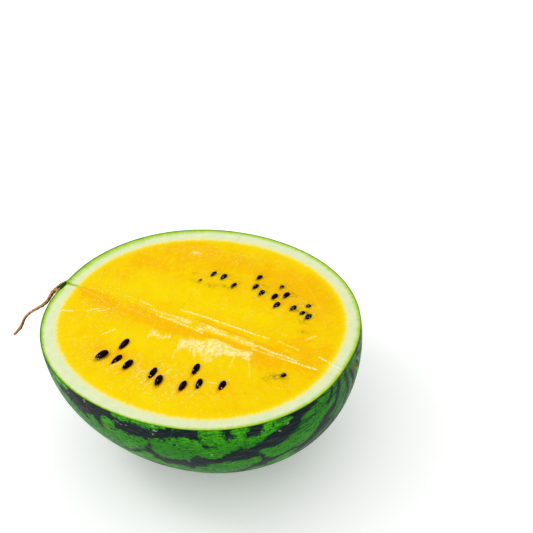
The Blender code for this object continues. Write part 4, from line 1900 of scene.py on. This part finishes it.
    def build(self, skin: bpy.types.Material, flesh: bpy.types.Material) -> bpy.types.Object:
        """Build the half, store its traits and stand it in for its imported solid.

        Args:
            skin: The skin's material.
            flesh: The cut face's material.

        Returns:
            The half.
        """
        rings = self._skin()
        rim = rings[0]
        spot = rings[-1]
        spot_middle = spot.mean(axis=0)
        inner = [spot_middle + (spot - spot_middle) * share for share in self.spot_shares]
        skin_points = np.vstack([*rings, *inner, spot_middle[None]])
        places, triangles = self._face_mesh(rim)
        height, seed_traits = self._face_height(places)
        face_points = np.column_stack([places, self.form.cut_above_axis + height])
        points = np.vstack([skin_points, face_points])
        faces = self._skin_faces(len(rings) + len(inner))
        skin_count = len(faces)
        shift = len(skin_points) - self.columns
        for a, b, c in triangles:
            corners = [i if i < self.columns else i + shift for i in (a, b, c)]
            edge_1, edge_2 = points[corners[1:]] - points[corners[0]]
            upward = edge_1[0] * edge_2[1] - edge_1[1] * edge_2[0] > 0
            faces.append(tuple(corners) if upward else tuple(reversed(corners)))
        mesh = bpy.data.meshes.new("melon_half_grown")
        world = points + np.array((0.0, 0.0, self.form.axis_height))
        mesh.from_pydata((world * MM).tolist(), [], faces)
        mesh.materials.append(skin)
        mesh.materials.append(flesh)
        layers = [Layer.SKIN.value] * skin_count + [Layer.FACE.value] * (len(faces) - skin_count)
        mesh.polygons.foreach_set("material_index", layers)
        mesh.shade_smooth()
        mesh.set_sharp_from_angle(angle=math.radians(self.sharp_edge))
        self._store(mesh, skin_points, face_points, rim, seed_traits)
        half = link_object("melon_half_grown", mesh)
        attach(half, BODY)
        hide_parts("melon_half")
        return half

    def _skin_faces(self, ring_count: int) -> Faces:
        """Quads between the rings of the skin and a fan over the last one.

        Args:
            ring_count: Number of rings, those of the resting spot among them.

        Returns:
            The faces, pointing outwards.
        """
        count = self.columns
        faces = [quad[::-1] for quad in ring_quads(ring_count, count)]
        last, middle = (ring_count - 1) * count, ring_count * count
        faces += [(last + (column + 1) % count, last + column, middle) for column in range(count)]
        return faces

    def _store(
        self, mesh: bpy.types.Mesh, skin: Array, face: Array, rim: Array, seed_traits: dict[Trait, Array]
    ) -> None:
        """Store every trait on the mesh, the skin's vertices first and the face's after them.

        Args:
            mesh: The half's mesh.
            skin: The skin's points, the rim first.
            face: The face's inner points.
            rim: The rim's points.
            seed_traits: Traits of the flesh at its seeds, for the face's inner points.
        """
        pattern, rim_count = self.pattern, len(rim)
        below_cut = skin[:, 2] - self.form.cut_above_axis
        skin_traits = {
            Trait.LIGHT_PATCH: pattern.light_patch(skin),
            Trait.PALE_MARK: pattern.marks(skin, pattern.pale_blemishes, pattern.pale_end_strokes),
            Trait.CORKY_MARK: pattern.marks(skin, pattern.corky_blemishes, pattern.corky_end_strokes),
            Trait.MERIDIAN: pattern.meridians(skin),
            Trait.END_NEARNESS: smooth_step(self.end_start, self.end_full, np.abs(skin[:, 0])),
        }
        for trait, values in skin_traits.items():
            rest = np.zeros((len(face), *values.shape[1:]))
            write_trait(mesh, trait, np.concatenate([values, rest]))
        places = np.vstack([rim[:, :2], face[:, :2]])
        for trait, values in self.face.traits(places, self._grain(places, rim)).items():
            rest = np.zeros((len(skin) - rim_count, *values.shape[1:]))
            if trait is Trait.RIM_DEPTH:
                rest = below_cut[rim_count:]
            write_trait(mesh, trait, np.concatenate([values[:rim_count], rest, values[rim_count:]]))
        for trait, values in seed_traits.items():
            write_trait(mesh, trait, np.concatenate([np.zeros(len(skin)), values]))
        self._store_foot(mesh, np.vstack([skin, face]))

    def _store_foot(self, mesh: bpy.types.Mesh, points: Array) -> None:
        """Store how near each vertex is to the dark green foot of the stem."""
        gap = np.linalg.norm((points - np.array(self.stem_foot)) * self.foot_stretch, axis=1)
        write_trait(mesh, Trait.STEM_GREEN, smooth_step(self.nub_reach, 0.6 * self.nub_reach, gap))


class Knot(NamedTuple):
    """A point of the stem: its place in millimetres from the fruit's middle, and its radius."""

    x: float
    y: float
    z: float
    radius: float


@dataclass
class DriedStem:
    """The dried stem: a forked, twisting, ridged twig that grips the skin with two roots."""

    form: FruitForm
    run: tuple[Knot, ...] = table(
        Knot, (-130.2, -5.3, 0.8, 2), (-133.5, -7.2, -2.3, 1.5), (-136.7, -9, -7.6, 1.38),
        (-140.3, -11.1, -12.3, 1.3), (-145.3, -14, -16, 1.18), (-150.9, -17.2, -19.4, 1.05),
        (-154.7, -19.4, -22.5, 1.02), (-158.4, -21.5, -27.1, 1.05), (-160.8, -22.9, -32.2, 1.12),
        (-163, -24.2, -36.1, 1.25), (-166.2, -26.1, -39.8, 1.02), (-168.5, -27.4, -42.4, 1.08),
    )
    upper_root: tuple[Knot, ...] = table(
        Knot, (-130.2, -5.3, 0.8, 1.5), (-128.6, -3.6, 3, 1.15), (-126.6, -1.4, 4.2, 1.2),
        (-124.6, 1.4, 4.9, 0.9), (-122.6, 4, 5.2, 0.7),
    )
    lower_root: tuple[Knot, ...] = table(
        Knot, (-130.2, -5.3, 0.8, 1.4), (-127.4, -7.2, 1.8, 1.15), (-124.8, -8.6, 2.9, 0.9),
        (-122.4, -9.7, 3.7, 0.6),
    )
    step: float = 0.5
    sides: int = 18
    voxel: float = 0.24
    ridge_height: float = 0.12
    ridge_radius: float = 1.2
    lump_height: float = 0.26
    lump_length: float = 1.5
    grit_height: float = 0.07
    grit_length: float = 0.5
    ridges: int = 5
    twist: float = 0.16
    # Painted shade: the side that the stem turns away from the light, and how sharply the shade comes on.
    shade_side: Point3 = (0.83, 0.0, -0.55)
    shade_span: Point = (-0.2, 0.5)
    # Where a painted dark spot stands for the shade in the knot's hole.
    knot_hole: Point3 = (-128.0, -4.6, 3.0)
    knot_hole_size: float = 1.5

    def _smooth(self, knots: Sequence[Knot]) -> Array:
        """Sample a smooth curve through knots.

        Args:
            knots: Places and radii.

        Returns:
            Rows of x, y, z and radius, closely spaced.
        """
        line = np.array(knots, float)
        padded = np.vstack([2 * line[0] - line[1], line, 2 * line[-1] - line[-2]])
        rows = []
        for before, start, end, after in zip(padded, padded[1:], padded[2:], padded[3:]):
            count = max(2, round(float(np.linalg.norm(end[:3] - start[:3])) / self.step))
            for t in np.linspace(0.0, 1.0, count, endpoint=False):
                cubic = 3 * start - before - 3 * end + after
                square = 2 * before - 5 * start + 4 * end - after
                rows.append(start + 0.5 * t * ((end - before) + t * (square + t * cubic)))
        rows.append(line[-1])
        return np.array(rows)

    def _tube(self, line: Array) -> tuple[Array, Faces]:
        """Sweep a ring along a line and close its ends.

        Args:
            line: Rows of x, y, z and radius.

        Returns:
            Points in millimetres and faces.
        """
        points = []
        side = np.array((0.0, 0.0, 1.0))
        for index, (*centre, radius) in enumerate(line):
            ahead = line[min(index + 1, len(line) - 1), :3] - line[max(index - 1, 0), :3]
            ahead /= np.linalg.norm(ahead)
            side = side - ahead * (side @ ahead)
            side /= np.linalg.norm(side)
            up = np.cross(ahead, side)
            for turn in np.linspace(0.0, math.tau, self.sides, endpoint=False):
                points.append(np.array(centre) + radius * (math.cos(turn) * side + math.sin(turn) * up))
        faces = ring_quads(len(line), self.sides)
        faces.append(tuple(reversed(range(self.sides))))
        faces.append(tuple(range((len(line) - 1) * self.sides, len(line) * self.sides)))
        return np.array(points), faces

    def _rough(self, points: Array, normals: Array, lines: Sequence[Array]) -> tuple[Array, Array]:
        """Press ridges, grooves and small knots into the joined shape.

        Args:
            points: Its points in millimetres.
            normals: Its normals.
            lines: The centre lines of its limbs.

        Returns:
            The moved points, and how deep in a groove each one lies.
        """
        centres = np.vstack([line[:, :3] for line in lines])
        radii = np.concatenate([line[:, 3] for line in lines])
        order = np.concatenate([np.arange(len(line)) * self.step for line in lines])
        nearest = np.array([int(np.argmin(((centres - p) ** 2).sum(axis=1))) for p in points])
        offset = points - centres[nearest]
        along = order[nearest]
        turn = np.arctan2(offset[:, 2], offset @ np.array((0.5, -0.86, 0.0)))
        wave = np.cos(self.ridges * turn + self.twist * along * self.ridges)
        wave += 0.5 * np.cos((self.ridges + 3) * turn - 0.5 * along + 1.0)
        lumps = np.array([noise.noise(tuple(p / self.lump_length)) for p in points])
        grit = np.array([noise.noise(tuple(p / self.grit_length)) for p in points])
        scale = radii[nearest] / self.ridge_radius
        move = scale * (self.ridge_height * wave + self.lump_height * lumps) + self.grit_height * grit
        groove = smooth_step(-0.1, -1.2, wave + 0.8 * grit)
        return points + normals * move[:, None], groove

    def build(self, material: bpy.types.Material) -> bpy.types.Object:
        """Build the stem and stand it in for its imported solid.

        Args:
            material: The bark.

        Returns:
            The stem.
        """
        lines = [self._smooth(knots) for knots in (self.run, self.upper_root, self.lower_root)]
        points, faces = np.zeros((0, 3)), []
        for line in lines:
            tube, tube_faces = self._tube(line)
            faces += [tuple(corner + len(points) for corner in face) for face in tube_faces]
            points = np.vstack([points, tube])
        middle = np.array((0.0, 0.0, self.form.axis_height))
        draft = bpy.data.meshes.new("stem_draft")
        draft.from_pydata(((points + middle) * MM).tolist(), [], faces)
        sketch = link_object("stem_draft", draft)
        remesh = sketch.modifiers.new("one_skin", "REMESH")
        remesh.mode = "VOXEL"
        remesh.voxel_size = self.voxel * MM
        relax = sketch.modifiers.new("relax", "SMOOTH")
        relax.factor = 0.5
        relax.iterations = 3
        evaluated = sketch.evaluated_get(bpy.context.evaluated_depsgraph_get())
        mesh = bpy.data.meshes.new_from_object(evaluated)
        bpy.data.objects.remove(sketch)
        mesh.name = "stem_bark"
        place = np.array([vertex.co for vertex in mesh.vertices]) / MM - middle
        normals = np.array([vertex.normal for vertex in mesh.vertices])
        moved, groove = self._rough(place, normals, lines)
        world = (moved + middle) * MM
        mesh.vertices.foreach_set("co", world.astype(np.float32).ravel())
        # Painted shade: how far each part of the stem faces down and away from the light.
        turned = smooth_step(*self.shade_span, normals @ np.array(self.shade_side))
        # Painted shade in place of a hole at the knot, which the mesh doesn't have.
        gap = np.linalg.norm(place - np.array(self.knot_hole), axis=1)
        hole_shade = smooth_step(self.knot_hole_size, 0.4 * self.knot_hole_size, gap)
        write_trait(mesh, Trait.BARK_GROOVE, np.maximum(groove, hole_shade))
        write_trait(mesh, Trait.BARK_SHADE, turned)
        mesh.materials.clear()
        mesh.materials.append(material)
        mesh.shade_smooth()
        stem = link_object("stem_bark", mesh)
        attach(stem, BODY)
        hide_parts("stem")
        return stem


class Softbox(NamedTuple):
    """A square soft light: its place, what it faces, its side and its power in watts."""

    name: str
    place: Point3
    target: Point3
    side: float
    power: float


@dataclass(frozen=True)
class Studio:
    """Plain pale floor, soft lights and the camera at the photograph's angle, in metres."""

    floor_side: float = 12.0
    sky: Colour = (1.0, 1.0, 1.0)
    sky_strength: float = 0.97
    lights: tuple[Softbox, ...] = table(
        Softbox,
        ("key_softbox", (-0.9, -0.2, 1.4), (0.0, 0.0, 0.08), 0.5, 3.8),
        ("front_softbox", (0.1, -1.4, 0.7), (0.0, 0.0, 0.05), 0.9, 1.6),
        ("low_softbox", (-1.3, -0.8, 0.3), (0.0, 0.0, 0.05), 0.7, 1.0),
        ("back_softbox", (0.3, 1.1, 1.3), (0.0, 0.0, 0.08), 1.0, 1.0),
    )
    target: Point3 = (-0.004774, 0.108939, 0.074354)
    distance: float = 0.98912
    azimuth: float = 33.39
    elevation: float = 40.04
    roll: float = -7.99
    lens: float = 81.05
    sensor: float = 36.0
    shift_x: float = -0.00094
    shift_y: float = 0.00094

    def build(self, kit: EffectKit) -> None:
        """Build the floor, the sky, the lights and the camera.

        Args:
            kit: The shared effects.
        """
        self._floor(kit)
        self._sky()
        for light in self.lights:
            self._softbox(light)
        self._camera()

    def _floor(self, kit: EffectKit) -> None:
        """A large flat floor at the height of the resting spot.

        Args:
            kit: The shared effects.
        """
        half = self.floor_side / 2
        corners = [(-half, -half, 0.0), (half, -half, 0.0), (half, half, 0.0), (-half, half, 0.0)]
        mesh = bpy.data.meshes.new("floor")
        mesh.from_pydata(corners, [], [(0, 1, 2, 3)])
        mesh.materials.append(FloorFinish(kit).material())
        link_object("floor", mesh)

    def _sky(self) -> None:
        """Even pale light from all around."""
        world = bpy.data.worlds.new("pale_room")
        world.use_nodes = True
        background = world.node_tree.nodes["Background"]
        background.inputs["Color"].default_value = (*self.sky, 1.0)
        background.inputs["Strength"].default_value = self.sky_strength
        scene = bpy.context.scene
        scene.world = world
        scene.view_settings.view_transform = "Standard"

    def _softbox(self, box: Softbox) -> None:
        """Hang one square light, turned to what it faces.

        Args:
            box: The light's place, aim, side and power.
        """
        lamp = bpy.data.lights.new(box.name, "AREA")
        lamp.shape = "SQUARE"
        lamp.size = box.side
        lamp.energy = box.power
        holder = bpy.data.objects.new(box.name, lamp)
        holder.location = box.place
        aim = Vector(box.target) - Vector(box.place)
        holder.rotation_euler = aim.to_track_quat("-Z", "Y").to_euler()
        bpy.context.scene.collection.objects.link(holder)

    def _camera(self) -> None:
        """Stand the camera where the photograph was taken from."""
        data = bpy.data.cameras.new("photo_camera")
        data.lens = self.lens
        data.sensor_width = self.sensor
        data.shift_x = self.shift_x
        data.shift_y = self.shift_y
        camera = bpy.data.objects.new("photo_camera", data)
        aim = Euler((math.radians(90.0 - self.elevation), 0.0, math.radians(self.azimuth)))
        camera.matrix_world = (
            Matrix.Translation(self.target)
            @ aim.to_matrix().to_4x4()
            @ Matrix.Rotation(math.radians(self.roll), 4, "Z")
            @ Matrix.Translation((0.0, 0.0, self.distance))
        )
        bpy.context.scene.collection.objects.link(camera)
        bpy.context.scene.camera = camera


def main() -> None:
    """Build the half, its seeds, its stem and the studio in order."""
    logging.basicConfig(level=logging.INFO, format="%(name)s: %(message)s")
    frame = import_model()
    kit = EffectKit.build()
    studio = Studio()
    studio.build(kit)
    log.info("studio: floor, sky, %d softboxes and camera", len(studio.lights))
    form = FruitForm.from_frame()
    seeds = SeedSet(form)
    seeds.find(frame["nodes"])
    made = seeds.build(SeedCoatFinish(kit).material())
    log.info("seeds: %d, %d faces each", len(made), len(made[0].data.polygons))
    half = MelonHalf(form, StripePattern(), CutFace(), seeds)
    grown = half.build(SkinFinish(kit).material(), FaceFinish(kit).material())
    mesh = grown.data
    mesh.calc_loop_triangles()
    log.info("melon half: %d vertices, %d triangles", len(mesh.vertices), len(mesh.loop_triangles))
    stem = DriedStem(form).build(BarkFinish(kit).material())
    log.info("stem: %d vertices", len(stem.data.vertices))


if __name__ == "__main__":
    main()
